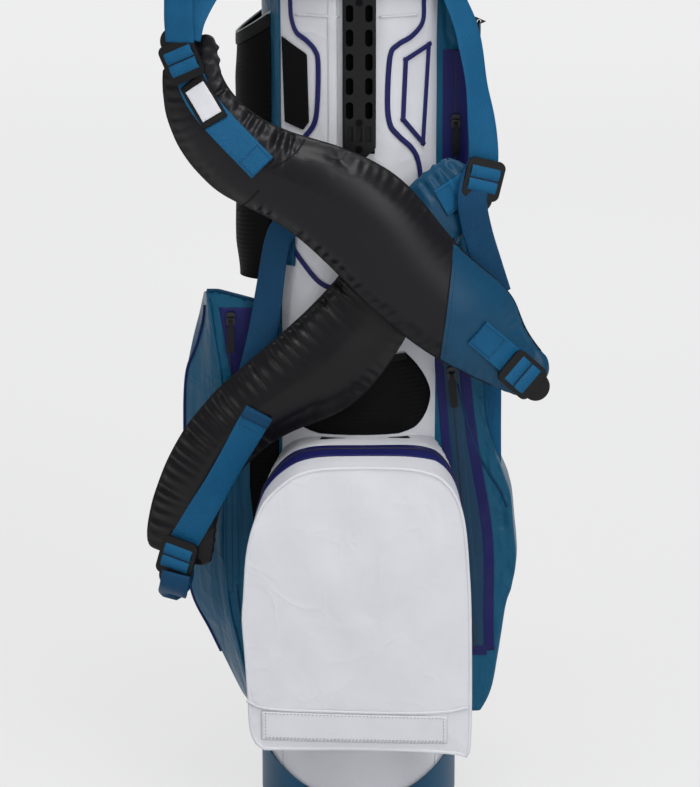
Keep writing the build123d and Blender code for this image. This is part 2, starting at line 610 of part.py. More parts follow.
def zip_pull(name):
    eye = Rot(0, 90, 0) * Cylinder(PULL_THICKNESS, PULL_NECK)
    neck = block((-PULL_NECK / 2, -PULL_NECK_LENGTH - PULL_CORNER, -PULL_THICKNESS / 2),
                 (PULL_NECK / 2, 0, PULL_THICKNESS / 2))
    grip = RectangleRounded(PULL_WIDTH, PULL_LENGTH, PULL_CORNER)
    grip = Pos(0, -PULL_NECK_LENGTH - PULL_LENGTH / 2) * grip
    pull = eye + neck + extrude(grip, PULL_THICKNESS / 2, both=True)
    pull -= Rot(0, 90, 0) * Cylinder(SLIDER_PIN_RADIUS + RUN_FIT, PULL_WIDTH)
    return slider_plane(name) * Pos(0, 0, PULL_AXIS_HEIGHT) * pull


# Shoulder pads, webbing and ladder locks

def bent_slab(front, bend, thickness):
    """A wall that curves gently round the front of the bag."""
    centre = Pos(0, bend - front, 0)
    slab = upright(bend + thickness, 0, BAG_HEIGHT) - upright(bend, -1, BAG_HEIGHT + 1)
    return centre * slab


def pad(upper, lower, front, bend):
    """A foam pad cut to an outline seen from the front, with its rims rounded."""
    edges = [Spline(*upper), Spline(*lower), Line(upper[0], lower[0])]
    edges.append(ThreePointArc(upper[-1], pad_tip(upper, lower), lower[-1]))
    cushion = front_prism(make_face(edges)) & bent_slab(front, bend, PAD_THICKNESS)
    return fillet(cushion.edges(), PAD_ROUND)


def pad_tip(upper, lower):
    """Point of the rounded end: half its width ahead of its middle."""
    a, b = Vector(*upper[-1]), Vector(*lower[-1])
    across = b - a
    ahead = Vector(across.Y, -across.X) * 0.3
    middle = (a + b) * 0.5
    forward = middle - (Vector(*upper[-2]) + Vector(*lower[-2])) * 0.5
    tip = middle + ahead if ahead.dot(forward) > 0 else middle - ahead
    return tip.X, tip.Y


def outer_pad():
    return pad(OUTER_PAD_UPPER, OUTER_PAD_LOWER, OUTER_PAD_FRONT, OUTER_PAD_BEND)


def inner_pad():
    return pad(INNER_PAD_UPPER, INNER_PAD_LOWER, INNER_PAD_FRONT, INNER_PAD_BEND)


def sewn_webbing(start, end, front, bend):
    """A flat length of webbing lying on a pad, from (x, z) to (x, z)."""
    a, b = Vector(*start), Vector(*end)
    middle, along = (a + b) * 0.5, b - a
    strip = Rectangle(along.length, WEB_WIDTH)
    turn = along.get_signed_angle(Vector(1, 0), Vector(0, 0, -1))
    prism = front_prism(Pos(middle.X, middle.Y) * Rot(0, 0, turn) * strip)
    above = PAD_THICKNESS + FIT
    return prism & bent_slab(front + above, bend + above, WEB_THICKNESS)


def outer_pad_webbing():
    return [sewn_webbing(*run, OUTER_PAD_FRONT, OUTER_PAD_BEND) for run in (OUTER_WEB, OUTER_STUB)]


def inner_pad_webbing():
    return [sewn_webbing(*run, INNER_PAD_FRONT, INNER_PAD_BEND) for run in (INNER_WEB, INNER_STUB)]


def ladder_lock(place):
    """A webbing adjuster: a rounded frame with two windows, a middle bar and a thumb tongue."""
    outline = RectangleRounded(LOCK_WIDTH, LOCK_LENGTH, LOCK_ROUND)
    for side in (-1, 1):
        outline -= Pos(0, side * (LOCK_WINDOW + LOCK_BAR) / 2) * Rectangle(WEB_WIDTH + 2, LOCK_WINDOW)
    frame = extrude(outline, LOCK_THICKNESS)
    tongue = Pos(0, -LOCK_LENGTH / 2, 0) * Circle(WEB_WIDTH / 2)
    tongue &= Pos(0, -LOCK_LENGTH) * Rectangle(LOCK_WIDTH, LOCK_LENGTH)
    return place * (frame + extrude(tongue, LOCK_THICKNESS / 2))


def lock_place(x, z, lean, front, bend):
    """A plane on the front of a pad, with its y axis leaning from the vertical towards -X."""
    reach = bend + PAD_THICKNESS
    normal = Vector(x, -sqrt(reach * reach - x * x), 0) / reach
    sideways = Vector(-normal.Y, normal.X, 0)
    across = sideways * cos(radians(lean)) + Vector(0, 0, sin(radians(lean)))
    centre = Vector(0, bend - front, z) + normal * (reach + WEB_THICKNESS + 2 * FIT)
    return Plane(centre, x_dir=across, z_dir=normal)


LOCK_PLACES = {
    "outer_top_lock": lock_place(*OUTER_TOP_LOCK, OUTER_TOP_LEAN, OUTER_PAD_FRONT, OUTER_PAD_BEND),
    "outer_low_lock": lock_place(*OUTER_LOW_LOCK, OUTER_LOW_LEAN, OUTER_PAD_FRONT, OUTER_PAD_BEND),
    "inner_top_lock": lock_place(*INNER_TOP_LOCK, INNER_TOP_LEAN, INNER_PAD_FRONT, INNER_PAD_BEND),
    "inner_low_lock": lock_place(*INNER_LOW_LOCK, INNER_LOW_LEAN, INNER_PAD_FRONT, INNER_PAD_BEND),
}


def at_lock(name, offset):
    """A point beside a lock, measured from its middle in the bag's own directions."""
    return LOCK_PLACES[name].origin + Vector(*offset)


def on_anchor(angle, standoff):
    """The middle of a strap's width where it is sewn to an anchor on the cuff."""
    return on_tube(angle, ANCHOR_RADIUS + standoff, ANCHOR_LOW + ANCHOR_HEIGHT / 2)


def strap(start, end, facing, hook=(), bow=(0, 0, 0)):
    """Flat webbing from start to end with its face towards a direction.

    A bow carries the middle of a slack run to one side. The points of a hook go on from the end,
    each measured along the run and out of its face.
    """
    a, b, slack = Vector(*start), Vector(*end), Vector(*bow)
    along = (b - a - slack * 4).normalized()
    face = Vector(*facing)
    face = (face - along * face.dot(along)).normalized()
    straight_from = b - along * WEB_LEAD
    if slack.length:
        middle = TangentArc(straight_from, a, tangent=along * -1) @ 0.5
        run = ThreePointArc(a, middle, straight_from)
    else:
        run = Line(a, straight_from)
    turns = [b + along * ahead + face * out for ahead, out in hook]
    last = FilletPolyline(straight_from, b, *turns, radius=WEB_BEND) if hook else Line(straight_from, b)
    line = Wire([*run.edges(), *last.edges()])
    leaving = run % 0
    section = Plane(a, x_dir=leaving.cross(face), z_dir=leaving) * Rectangle(WEB_WIDTH, WEB_THICKNESS)
    return sweep(section, path=line)


def outer_top_strap():
    end = on_anchor(LEFT_ANCHOR_ANGLE, WEB_THICKNESS / 2)
    return strap(at_lock("outer_top_lock", OUTER_TOP_RUN), end, on_tube(LEFT_ANCHOR_ANGLE, 1, 0))


def inner_top_strap():
    start = on_anchor(RIGHT_ANCHOR_ANGLE, WEB_THICKNESS / 2 + FIT)
    return strap(start, at_lock("inner_top_lock", INNER_TOP_RUN), on_tube(RIGHT_ANCHOR_ANGLE, 1, 0),
                 bow=INNER_TOP_BOW)


def outer_low_strap():
    out, y, z = OUTER_LOW_END
    return strap(at_lock("outer_low_lock", OUTER_LOW_RUN), (TUBE_RADIUS + out, y, z), (1, -0.6, 0))


def inner_low_strap():
    radius = SEAT_RADIUS + ANCHOR_THICKNESS + INNER_LOW_STANDOFF
    start = on_tube(PANEL_ANCHOR_TURN, radius, PANEL_ANCHOR_MIDDLE)
    return strap(start, at_lock("inner_low_lock", INNER_LOW_RUN), (0, -1, 0), hook=INNER_LOW_HOOK,
                 bow=INNER_LOW_BOW)


def strap_anchors():
    """Sewn patches that hold the webbing: two on the cuff and one on the front panel."""
    half = ANCHOR_ANGLE / 2
    patches = [sector(CUFF_RADIUS + FIT, ANCHOR_RADIUS, middle - half, middle + half,
                      ANCHOR_LOW, ANCHOR_LOW + ANCHOR_HEIGHT)
               for middle in (LEFT_ANCHOR_ANGLE, RIGHT_ANCHOR_ANGLE)]
    middle, z = PANEL_ANCHOR_TURN, PANEL_ANCHOR_MIDDLE
    half = PANEL_ANCHOR_ANGLE / 2
    patches.append(sector(SEAT_RADIUS, SEAT_RADIUS + ANCHOR_THICKNESS, middle - half, middle + half,
                          z - PANEL_ANCHOR_HEIGHT / 2, z + PANEL_ANCHOR_HEIGHT / 2))
    return patches


# Stand legs, in the right-hand leg's own frame: x along its hinge axis, y the way it swings

def right_and_left(name, solid):
    """One node for each leg, the left one mirrored from the right one."""
    placed = LEG_FRAME * solid
    yield "right_" + name, placed
    yield "left_" + name, mirror(placed, Plane.YZ)


def along_hinge(radius, length):
    return Rot(0, 90, 0) * Cylinder(radius, length)


def leg_knuckle():
    top = -KNUCKLE_DROP
    knuckle = along_hinge(KNUCKLE_RADIUS, KNUCKLE_WIDTH)
    knuckle += Pos(0, 0, top) * Cylinder(KNUCKLE_NECK, KNUCKLE_DROP, align=UP)
    knuckle += Pos(0, 0, top) * Cylinder(LEG_RADIUS, KNUCKLE_FLANGE, align=UP)
    plug = Cylinder(LEG_RADIUS - LEG_WALL - PRESS_FIT, KNUCKLE_PLUG, align=UP)
    knuckle += Pos(0, 0, top - KNUCKLE_PLUG) * plug
    return knuckle - along_hinge(PIN_RADIUS + RUN_FIT, FAR)


def leg_tube():
    low = LEG_CLEAR + FOOT_LENGTH - FOOT_SOCKET - PIVOT_HEIGHT
    length = -KNUCKLE_DROP - low
    tube = Cylinder(LEG_RADIUS, length, align=UP) - Cylinder(LEG_RADIUS - LEG_WALL, length, align=UP)
    return Pos(0, 0, low) * tube


def leg_foot():
    neck = LEG_RADIUS + FOOT_WALL
    outline = Polyline((0, 0), (FOOT_RADIUS, 0), (FOOT_RADIUS, FOOT_LENGTH / 2), (neck, FOOT_LENGTH),
                       (0, FOOT_LENGTH), close=True)
    face = make_face(outline)
    face = fillet(face.vertices().sort_by_distance((FOOT_RADIUS, 0))[0], FOOT_RADIUS * 0.7)
    foot = revolve(Plane.XZ * face, Axis.Z)
    foot -= Pos(0, 0, FOOT_LENGTH - FOOT_SOCKET) * Cylinder(LEG_RADIUS + PRESS_FIT, FOOT_LENGTH, align=UP)
    return Pos(0, 0, LEG_CLEAR - PIVOT_HEIGHT) * foot


def rod_collar():
    collar = Cylinder(LEG_RADIUS + COLLAR_RING, COLLAR_RING_LENGTH)
    collar += Pos(0, ROD_LEVER, 0) * along_hinge(LUG_RADIUS, LUG_WIDTH)
    collar += block((-LUG_WIDTH / 2, 0, -LUG_RADIUS), (LUG_WIDTH / 2, ROD_LEVER, LUG_RADIUS))
    collar -= Cylinder(LEG_RADIUS + PRESS_FIT, FAR)
    collar -= Pos(0, ROD_LEVER, 0) * along_hinge(ROD_RADIUS + RUN_FIT, FAR)
    return Pos(0, 0, -ROD_DROP) * collar


def stand_rod():
    low = LEVER_EYE_HEIGHT - PIVOT_HEIGHT
    line = FilletPolyline((LUG_WIDTH / 2 + ROD_RADIUS, ROD_LEVER, -ROD_DROP),
                          (-ROD_INSET, ROD_LEVER, -ROD_DROP),
                          (-ROD_INSET, ROD_LEVER, low),
                          (-ROD_INSET - ROD_HOOK, ROD_LEVER, low), radius=ROD_BEND)
    section = Plane(line @ 0, z_dir=line % 0) * Circle(ROD_RADIUS)
    return sweep(section, path=line)


def leg_bracket():
    bracket = sector(SEAT_RADIUS, BRACKET_RADIUS, 180 - BRACKET_ANGLE, 180 + BRACKET_ANGLE,
                     BRACKET_LOW, BRACKET_HIGH)
    bracket &= block((-FAR, 0, 0), (FAR, BRACKET_BACK, BAG_HEIGHT))
    half = KNUCKLE_WIDTH / 2 + KNUCKLE_GAP
    reach = KNUCKLE_RADIUS + KNUCKLE_GAP
    slot = block((-half, -reach, -FAR), (half, FAR, reach))
    cuts = slot + along_hinge(PIN_RADIUS + PRESS_FIT, KNUCKLE_WIDTH + 2 * BRACKET_CHEEK)
    cuts = LEG_FRAME * cuts
    bracket = bracket - cuts - mirror(cuts, Plane.YZ)
    for hole in bracket_screw_places():
        bracket -= hole * Cylinder(BRACKET_SCREW_RADIUS + PRESS_FIT, FAR)
    return bracket


def bracket_screw_places():
    """Planes on the bracket's back face, facing out of it."""
    middle = (BRACKET_LOW + BRACKET_HIGH) / 2
    half = BRACKET_SCREW_SPACING / 2
    places = [(x, middle + z) for x in (-half, half) for z in (-half, half)]
    return [Plane((x, BRACKET_BACK, z), z_dir=(0, 1, 0)) for x, z in places]


def bracket_screws():
    length = BRACKET_BACK - TUBE_RADIUS - BRACKET_SCREW_HEAD
    shank = Pos(0, 0, -length) * Cylinder(BRACKET_SCREW_RADIUS, length, align=UP)
    screw = shank + Cylinder(BRACKET_SCREW_HEAD, BRACKET_SCREW_HEAD / 2, align=UP)
    return [place * screw for place in bracket_screw_places()]


def leg_pins():
    pin = LEG_FRAME * along_hinge(PIN_RADIUS, KNUCKLE_WIDTH + 2 * BRACKET_CHEEK)
    return [pin, mirror(pin, Plane.YZ)]


# Towel ring on the right-hand side

def ring_tab(pocket):
    root = TUBE_RADIUS
    outline = Polyline((root, RING_Z + TAB_RISE), (RING_X + TAB_LIP, RING_Z), (root, RING_Z - TAB_RISE),
                       close=True)
    tab = Pos(0, RING_Y + TAB_THICKNESS / 2, 0) * front_prism(make_face(outline), TAB_THICKNESS)
    tab -= front_prism(Pos(RING_X, RING_Z) * Circle(RING_HOLE), -FAR)
    return tab - pocket


def towel_ring():
    return Pos(RING_X, RING_Y, RING_Z - RING_RADIUS) * Rot(0, 90, 0) * Torus(RING_RADIUS, RING_WIRE)


def nodes():
    """Every node's name with its solid or its list of solids."""
    yield "base_cup", base_cup()
    yield "foot_lever", foot_lever()
    yield "lever_tread", lever_tread()
    yield "lever_pin", lever_axis_cylinder(PIN_RADIUS, 2 * HOUSING_HALF)
    yield "front_panel", tube_panel(-PANEL_FRONT_ANGLE, PANEL_FRONT_ANGLE)
    yield "right_panel", tube_panel(PANEL_FRONT_ANGLE, PANEL_SIDE_ANGLE)
    yield "left_panel", tube_panel(-PANEL_SIDE_ANGLE, -PANEL_FRONT_ANGLE)
    yield "back_panel", back_panel()
    yield "stay_rods", stay_rods()
    yield "top_collar", top_collar()
    yield "padded_cuff", padded_cuff()
    yield "divider_cross", divider_cross()
    yield "divider_sheets", divider_sheets()
    yield "collar_handle", collar_handle()
    yield "spine_rail", spine_rail()
    yield "rail_screws", rail_screws()
    yield "glove_patch", glove_patch()
    yield "slip_pocket", slip_pocket()
    yield "ball_pocket", ball_pocket()
    yield "left_pocket", left_pocket()
    right = right_pocket()
    yield "right_pocket", right
    yield "bottle_sleeve", bottle_sleeve()
    yield "zip_tapes", zip_tapes()
    for name in SLIDER_PLACES:
        yield name + "_slider", zip_slider(name)
        yield name + "_pull", zip_pull(name)
    yield "outer_pad", outer_pad()
    yield "inner_pad", inner_pad()
    yield "outer_pad_webbing", outer_pad_webbing()
    yield "inner_pad_webbing", inner_pad_webbing()
    for name, place in LOCK_PLACES.items():
        yield name, ladder_lock(place)
    yield "outer_top_strap", outer_top_strap()
    yield "inner_top_strap", inner_top_strap()
    yield "outer_low_strap", outer_low_strap()
    yield "inner_low_strap", inner_low_strap()
    yield "strap_anchors", strap_anchors()
    yield "leg_bracket", leg_bracket()
    yield "bracket_screws", bracket_screws()
    yield "leg_pins", leg_pins()
    yield from right_and_left("leg_knuckle", leg_knuckle())
    yield from right_and_left("leg_tube", leg_tube())
    yield from right_and_left("leg_foot", leg_foot())
    yield from right_and_left("rod_collar", rod_collar())
    yield from right_and_left("rod", stand_rod())
    yield "ring_tab", ring_tab(right)
    yield "towel_ring", towel_ring()


os.makedirs("parts", exist_ok=True)
for node_name, node_solids in nodes():
    shape = Compound(children=node_solids) if isinstance(node_solids, list) else node_solids
    export_step(shape, os.path.join("parts", node_name + ".step"))
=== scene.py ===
"""Looks of a golf stand bag: fabric shell, pockets, crossed shoulder pads, webbing and zips on its CAD frame.

Shapes are worked out in millimetres and become metres when a mesh is made. The front of the bag faces -Y.
"""

import math

import bmesh
import bpy
import numpy as np
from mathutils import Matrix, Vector, noise
from mathutils.bvhtree import BVHTree


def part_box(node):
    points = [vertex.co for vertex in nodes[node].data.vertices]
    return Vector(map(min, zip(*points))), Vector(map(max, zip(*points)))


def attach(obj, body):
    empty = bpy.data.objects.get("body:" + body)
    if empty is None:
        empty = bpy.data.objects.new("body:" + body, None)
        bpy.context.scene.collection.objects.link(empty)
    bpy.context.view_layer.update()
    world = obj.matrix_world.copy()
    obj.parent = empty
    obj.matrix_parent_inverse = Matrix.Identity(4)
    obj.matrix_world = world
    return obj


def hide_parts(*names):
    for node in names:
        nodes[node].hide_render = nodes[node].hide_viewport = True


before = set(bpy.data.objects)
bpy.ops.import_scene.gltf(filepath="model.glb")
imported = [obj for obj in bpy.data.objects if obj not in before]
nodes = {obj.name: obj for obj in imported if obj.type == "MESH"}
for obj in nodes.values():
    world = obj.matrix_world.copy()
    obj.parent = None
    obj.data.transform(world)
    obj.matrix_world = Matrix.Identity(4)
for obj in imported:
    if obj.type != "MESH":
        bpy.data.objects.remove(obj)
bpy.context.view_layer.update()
MM = 0.001


def span(node):
    """A node's lowest and highest corners, in millimetres."""
    low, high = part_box(node)
    return np.array(low) / MM, np.array(high) / MM


# Sizes in millimetres, the first few read from the frame, and angles from the front in degrees

TUBE = -span("front_panel")[0][1]
TUBE_LOW, TUBE_HIGH = span("front_panel")[0][2], span("front_panel")[1][2]
CUFF_LOW = span("padded_cuff")[0][2]
TUBE_AXIS = (0.0, 0.0)
FRONT_EDGE, BACK_EDGE = 54, 128         # angles of the seams before and behind each side panel
FOOT_HIGH, FOOT_EDGE = 130, 74          # below this height the white cloth runs round to this angle
POCKET_ROOT = 97.0                      # radius at which the side pockets meet the tube
CUFF_MIDDLE = 103.2                     # radius of the middle of the cuff's wall
LEFT_TAB, RIGHT_TAB, LOW_TAB = -72, 52, -48     # angles of the tabs that hold the straps
CUFF_TAB_REACH = 111.2                  # radius of the two tabs on the cuff
CUFF_TAB_LOW, CUFF_TAB_HIGH = 858, 884
PAD_AXIS_Y = 496.9                      # both pads curve round this upright line
OUTER_PAD_REACH = 644.3                 # radius of the outer pad's front face round it
INNER_PAD_REACH = 622.0
PAD_HALF = 11                           # from a pad's front face to its middle
OUTER_MIDDLE, INNER_MIDDLE = OUTER_PAD_REACH - PAD_HALF, INNER_PAD_REACH - PAD_HALF
PAD_CROWN_WIDTH = 55                    # how far in from its edge a pad's crown is full
PAD_EDGE_FRONT, PAD_CROWN_FRONT = 5, 16     # how far its front stands out at its edge, and what a crown adds
PAD_EDGE_BACK, PAD_CROWN_BACK = 4, 6
PAD_PRESS, CUFF_PRESS = 0.36, 0.7       # share of its thickness that is left before it is stuffed
LOCK_HOLD = 30                          # how far round a lock a pad lies low
PAD_STUFFING = {"cap": 6.5, "voxel": 4.2, "swelling": 4.6}
STUFFING_PRESSURE, STUFFING_FRAMES = 4.0, 20
PLEAT_SPACING = 11
EDGE_STEP = 900                         # keeps the pleats of one edge unlike those of the next
WEB_WIDTH = 29.5
WEB_THICKNESS = 2.0
FINE_STITCH = {"spacing": 2.6, "length": 2.0, "width": 0.8, "height": 0.7}


# Shader building

class Shade:
    """A socket of a material's tree. Arithmetic on it adds Math nodes, and make adds any other node."""

    def __init__(self, tree, socket=None):
        self.tree = tree
        self.socket = socket

    def make(self, kind, settings=(), inputs=(), output=0):
        """Adds a node: its settings first, then the values or links of its sockets, by name or number."""
        node = self.tree.nodes.new("ShaderNode" + kind)
        for name, value in dict(settings).items():
            setattr(node, name, value)
        for name, value in dict(inputs).items():
            if isinstance(value, Shade):
                self.tree.links.new(value.socket, node.inputs[name])
            else:
                node.inputs[name].default_value = value
        return Shade(self.tree, node.outputs[output])

    def math(self, operation, *values):
        return self.make("Math", {"operation": operation}, enumerate(values))

    def __add__(self, other):
        return self.math("ADD", self, other)

    def __radd__(self, other):
        return self.math("ADD", other, self)

    def __sub__(self, other):
        return self.math("SUBTRACT", self, other)

    def __rsub__(self, other):
        return self.math("SUBTRACT", other, self)

    def __mul__(self, other):
        return self.math("MULTIPLY", self, other)

    def __rmul__(self, other):
        return self.math("MULTIPLY", other, self)

    def __pow__(self, other):
        return self.math("POWER", self, other)

    def __abs__(self):
        return self.math("ABSOLUTE", self)

    def wave(self, period):
        """A sine of this value that repeats every period."""
        phase = self * (2 * math.pi / period)
        return self.math("SINE", phase)

    def step(self, edge, width):
        """0 below an edge and 1 above it, over a narrow width."""
        settings = {"interpolation_type": "SMOOTHSTEP"}
        return self.make("MapRange", settings, {0: self, 1: edge - width / 2, 2: edge + width / 2})

    def grain(self, size, detail=2.0, distortion=0.0):
        """Noise from 0 to 1 with features of a size in metres; this socket is the place."""
        inputs = {"Vector": self, "Scale": 1 / size, "Detail": detail, "Distortion": distortion}
        return self.make("TexNoise", {}, inputs)

    def axes(self):
        return [self.make("SeparateXYZ", {}, {0: self}, output) for output in range(3)]

    def tint(self, low, high):
        """A colour between two, by this value."""
        return self.make("Mix", {"data_type": "RGBA"}, {0: self, 6: low, 7: high}, 2)

    def bump(self, depth, strength=1.0, under=None):
        """A normal from this height, where 1 is a depth in metres, on top of another normal."""
        inputs = {"Height": self, "Distance": depth, "Strength": strength}
        if under:
            inputs["Normal"] = under
        return self.make("Bump", {}, inputs)


def srgb(red, green, blue):
    """A display colour, 0 to 255, as a linear one."""
    def linear(value):
        value /= 255
        return value / 12.92 if value <= 0.04045 else ((value + 0.055) / 1.055) ** 2.4
    return linear(red), linear(green), linear(blue), 1.0


def scaled(colour, factor):
    return tuple(channel * factor for channel in colour[:3]) + (1.0,)


class Finish:
    """A material with its shader's constants set, its coordinates at hand and what varies linked in."""

    def __init__(self, name, **constants):
        self.material = bpy.data.materials.new(name)
        self.material.use_nodes = True
        tree = self.material.node_tree
        self.shader = tree.nodes["Principled BSDF"]
        for socket, value in constants.items():
            self.shader.inputs[socket.replace("_", " ")].default_value = value
        self.place = Shade(tree).make("TexCoord", output="Object")
        self.flat = Shade(tree).make("TexCoord", output="UV")
        self.tree = tree

    def link(self, **shades):
        for socket, shade in shades.items():
            self.tree.links.new(shade.socket, self.shader.inputs[socket.replace("_", " ")])
        return self.material


def creases(place, size):
    """Sharp ridges of crumpled cloth, from 0 to 1."""
    ridge = 1 - abs(place.grain(size, 2, 0.6) * 2 - 1)
    return ridge ** 4


def coated_cloth(name, colour, roughness, crumple, crumple_depth, hang=0.0, **constants):
    """Woven cloth under a smooth coating: fine weave, soft crumples, upright folds and changes of tone."""
    finish = Finish(name, **constants)
    across, along, _ = finish.flat.axes()
    weave = across.wave(1.1 * MM) * along.wave(1.1 * MM)
    tone = finish.place.grain(45 * MM, 3)
    soft = creases(finish.place, crumple) + finish.place.grain(2 * crumple) * 1.5
    normal = soft.bump(crumple_depth)
    if hang:
        upright = finish.place.make("Mapping", {}, {"Vector": finish.place, "Scale": (1.0, 1.0, 0.22)})
        normal = upright.grain(26 * MM, 2, 0.4).bump(hang, 1.0, normal)
    shine = finish.place.grain(20 * MM, 2) * 0.16 + (roughness - 0.08)
    return finish.link(Base_Color=tone.tint(scaled(colour, 0.93), scaled(colour, 1.05)),
                       Roughness=shine, Normal=weave.bump(0.05 * MM, 0.5, normal))


def navy_tape():
    finish = Finish("navy_tape", Specular_IOR_Level=0.2)
    colour = srgb(30, 32, 92)
    tone = finish.place.grain(25 * MM, 2)
    across, along, _ = finish.flat.axes()
    weave = (across + along).wave(0.9 * MM)
    return finish.link(Base_Color=tone.tint(scaled(colour, 0.8), scaled(colour, 1.15)),
                       Roughness=tone * 0.2 + 0.3, Normal=weave.bump(0.04 * MM, 0.5))


def padding(name, black, teal=None, seam=None):
    """Ripstop over foam; where a seam is given, the cloth past it is teal. Its UV map holds the place along
    the nearest edge and the gap to it, so fine pleats run in from the edges."""
    finish = Finish(name, Specular_IOR_Level=0.06, Coat_Weight=0.4, Coat_Roughness=0.34)
    x, _, z = finish.place.axes()
    tone = finish.place.grain(30 * MM, 3)
    cloth = tone.tint(scaled(black, 0.8), scaled(black, 1.2))
    shine = tone * 0.14 + 0.36
    if seam:
        (x0, z0), (x1, z1) = seam
        length = math.hypot(x1 - x0, z1 - z0) * MM
        past = 1 - (x * ((z1 - z0) * MM / length) - z * ((x1 - x0) * MM / length)).step(
            (x0 * (z1 - z0) - z0 * (x1 - x0)) * MM * MM / length, 0.6 * MM)
        cloth = past.tint(cloth, tone.tint(scaled(teal, 0.85), scaled(teal, 1.2)))
    threads = (x + z).wave(3.2 * MM) ** 8 + (x - z).wave(3.2 * MM) ** 8
    slack = finish.place.grain(45 * MM, 1)
    _, gap, _ = finish.flat.axes()
    inward = finish.flat.make("Mapping", {}, {"Vector": finish.flat, "Scale": (1.0, 0.1, 1.0)})
    pleats = inward.grain(5 * MM, 1) * (1 - gap.step(12 * MM, 22 * MM))
    normal = threads.bump(0.05 * MM, 0.5, pleats.bump(0.5 * MM, 1.0, slack.bump(3.0 * MM)))
    return finish.link(Base_Color=cloth, Roughness=shine, Normal=normal)


def knitted_mesh():
    """Open knit: rows of small holes with a rib across them; the holes are painted darker as the shade inside
    them.
    """
    finish = Finish("black_mesh", Specular_IOR_Level=0.1)
    across, along, _ = finish.flat.axes()
    holes = (across.wave(2.4 * MM) * along.wave(2.4 * MM)).step(0.25, 0.4)
    colour = srgb(12, 12, 14)
    tone = finish.place.grain(35 * MM)
    thread = (1 - holes) * (tone * 0.5 + 0.6)
    rib = along.wave(4.8 * MM)
    normal = (rib * 0.4 - holes).bump(0.5 * MM, 0.8)
    return finish.link(Base_Color=thread.tint(scaled(colour, 0.25), colour),
                       Roughness=holes * 0.2 + 0.55, Normal=normal)


def hook_tape():
    """Deep black pile of a glove fastening; its colour is darker where the pile's bump dips, which is painted
    shade.
    """
    finish = Finish("hook_tape", Roughness=0.95, Specular_IOR_Level=0.15)
    pile = finish.place.grain(0.9 * MM, 3)
    colour = srgb(14, 14, 16)
    return finish.link(Base_Color=pile.tint(scaled(colour, 0.5), scaled(colour, 1.4)),
                       Normal=pile.bump(0.6 * MM))


def woven_webbing(name, colour):
    """Webbing with lengthwise ribs; across goes from 0 to 1 over its width and along keeps to that scale."""
    finish = Finish(name, Specular_IOR_Level=0.2)
    across, along, _ = finish.flat.axes()
    ribs = across.wave(1 / 19)
    picks = (along + across * 0.5).wave(1 / 20)
    tone = finish.place.grain(18 * MM, 3)
    # Base colour: random tone, and darker in the grooves between ribs and picks, which is painted shade
    face = ribs * 0.12 + picks * 0.12 + tone * 0.5 + 0.3
    normal = (ribs + picks * 0.7).bump(0.12 * MM, 0.8)
    return finish.link(Base_Color=face.tint(scaled(colour, 0.72), scaled(colour, 1.18)),
                       Roughness=tone * 0.15 + 0.45, Normal=normal)


def moulded(name, colour, roughness, grit=0.35, **constants):
    """Moulded plastic or rubber with a fine spark-eroded grain and slightly rubbed high spots."""
    finish = Finish(name, **constants)
    spark = finish.place.grain(grit * MM, 3)
    rub = finish.place.grain(22 * MM, 4)
    return finish.link(Base_Color=rub.tint(scaled(colour, 0.8), scaled(colour, 1.25)),
                       Roughness=rub * 0.16 + (roughness - 0.08), Normal=spark.bump(0.06 * MM, 0.7))


def metal(name, colour, roughness):
    """Drawn metal with fine lines along it."""
    finish = Finish(name, Metallic=1.0)
    stretch = {"Scale": (1.0, 1.0, 0.02)}
    drawn = finish.place.make("Mapping", {}, {"Vector": finish.place, **stretch}).grain(0.5 * MM, 2)
    wear = finish.place.grain(30 * MM, 4)
    return finish.link(Base_Color=wear.tint(scaled(colour, 0.82), scaled(colour, 1.08)),
                       Roughness=drawn * 0.12 + wear * 0.1 + (roughness - 0.1),
                       Normal=drawn.bump(0.02 * MM, 0.5))


def lining():
    """Brushed divider cloth; its colour is partly random tone and partly darker where the nap's bump dips,
    which is painted shade.
    """
    finish = Finish("divider_cloth", Roughness=0.9, Sheen_Weight=0.3)
    nap = finish.place.grain(1.2 * MM, 3)
    tone = finish.place.grain(50 * MM, 2)
    colour = srgb(74, 76, 82)
    return finish.link(Base_Color=(nap * 0.5 + tone * 0.5).tint(scaled(colour, 0.6), scaled(colour, 1.2)),
                       Normal=nap.bump(0.3 * MM))


TEAL = srgb(15, 84, 116)
PAD_TEAL = srgb(12, 68, 99)
OUTER_SEAM = ((93, 606), (79.5, 488))        # where the outer pad's black cloth meets its teal end, as (x, z)
INNER_SEAM = ((18, 622), (66, 540))

white_fabric = coated_cloth("white_fabric", srgb(222, 223, 228), 0.5, 55 * MM, 0.5 * MM)
teal_fabric = coated_cloth("teal_fabric", TEAL, 0.42, 42 * MM, 1.2 * MM, 9.0 * MM, Specular_IOR_Level=0.1,
                           Coat_Weight=0.26, Coat_Roughness=0.22, Coat_IOR=1.4)
deep_teal = coated_cloth("deep_teal_fabric", srgb(12, 60, 92), 0.45, 30 * MM, 0.5 * MM,
                         Specular_IOR_Level=0.16)
navy = navy_tape()
outer_cloth = padding("outer_padding", srgb(20, 19, 23), PAD_TEAL, OUTER_SEAM)
# The inner pad's cloth is darker than the outer pad's: painted shade on the same black cloth
inner_shaded_cloth = padding("inner_padding_in_shade", srgb(15, 14, 17), PAD_TEAL, INNER_SEAM)
cuff_cloth = padding("cuff_padding", srgb(21, 20, 24))
black_mesh = knitted_mesh()
black_pile = hook_tape()
webbing = woven_webbing("webbing", srgb(14, 90, 132))
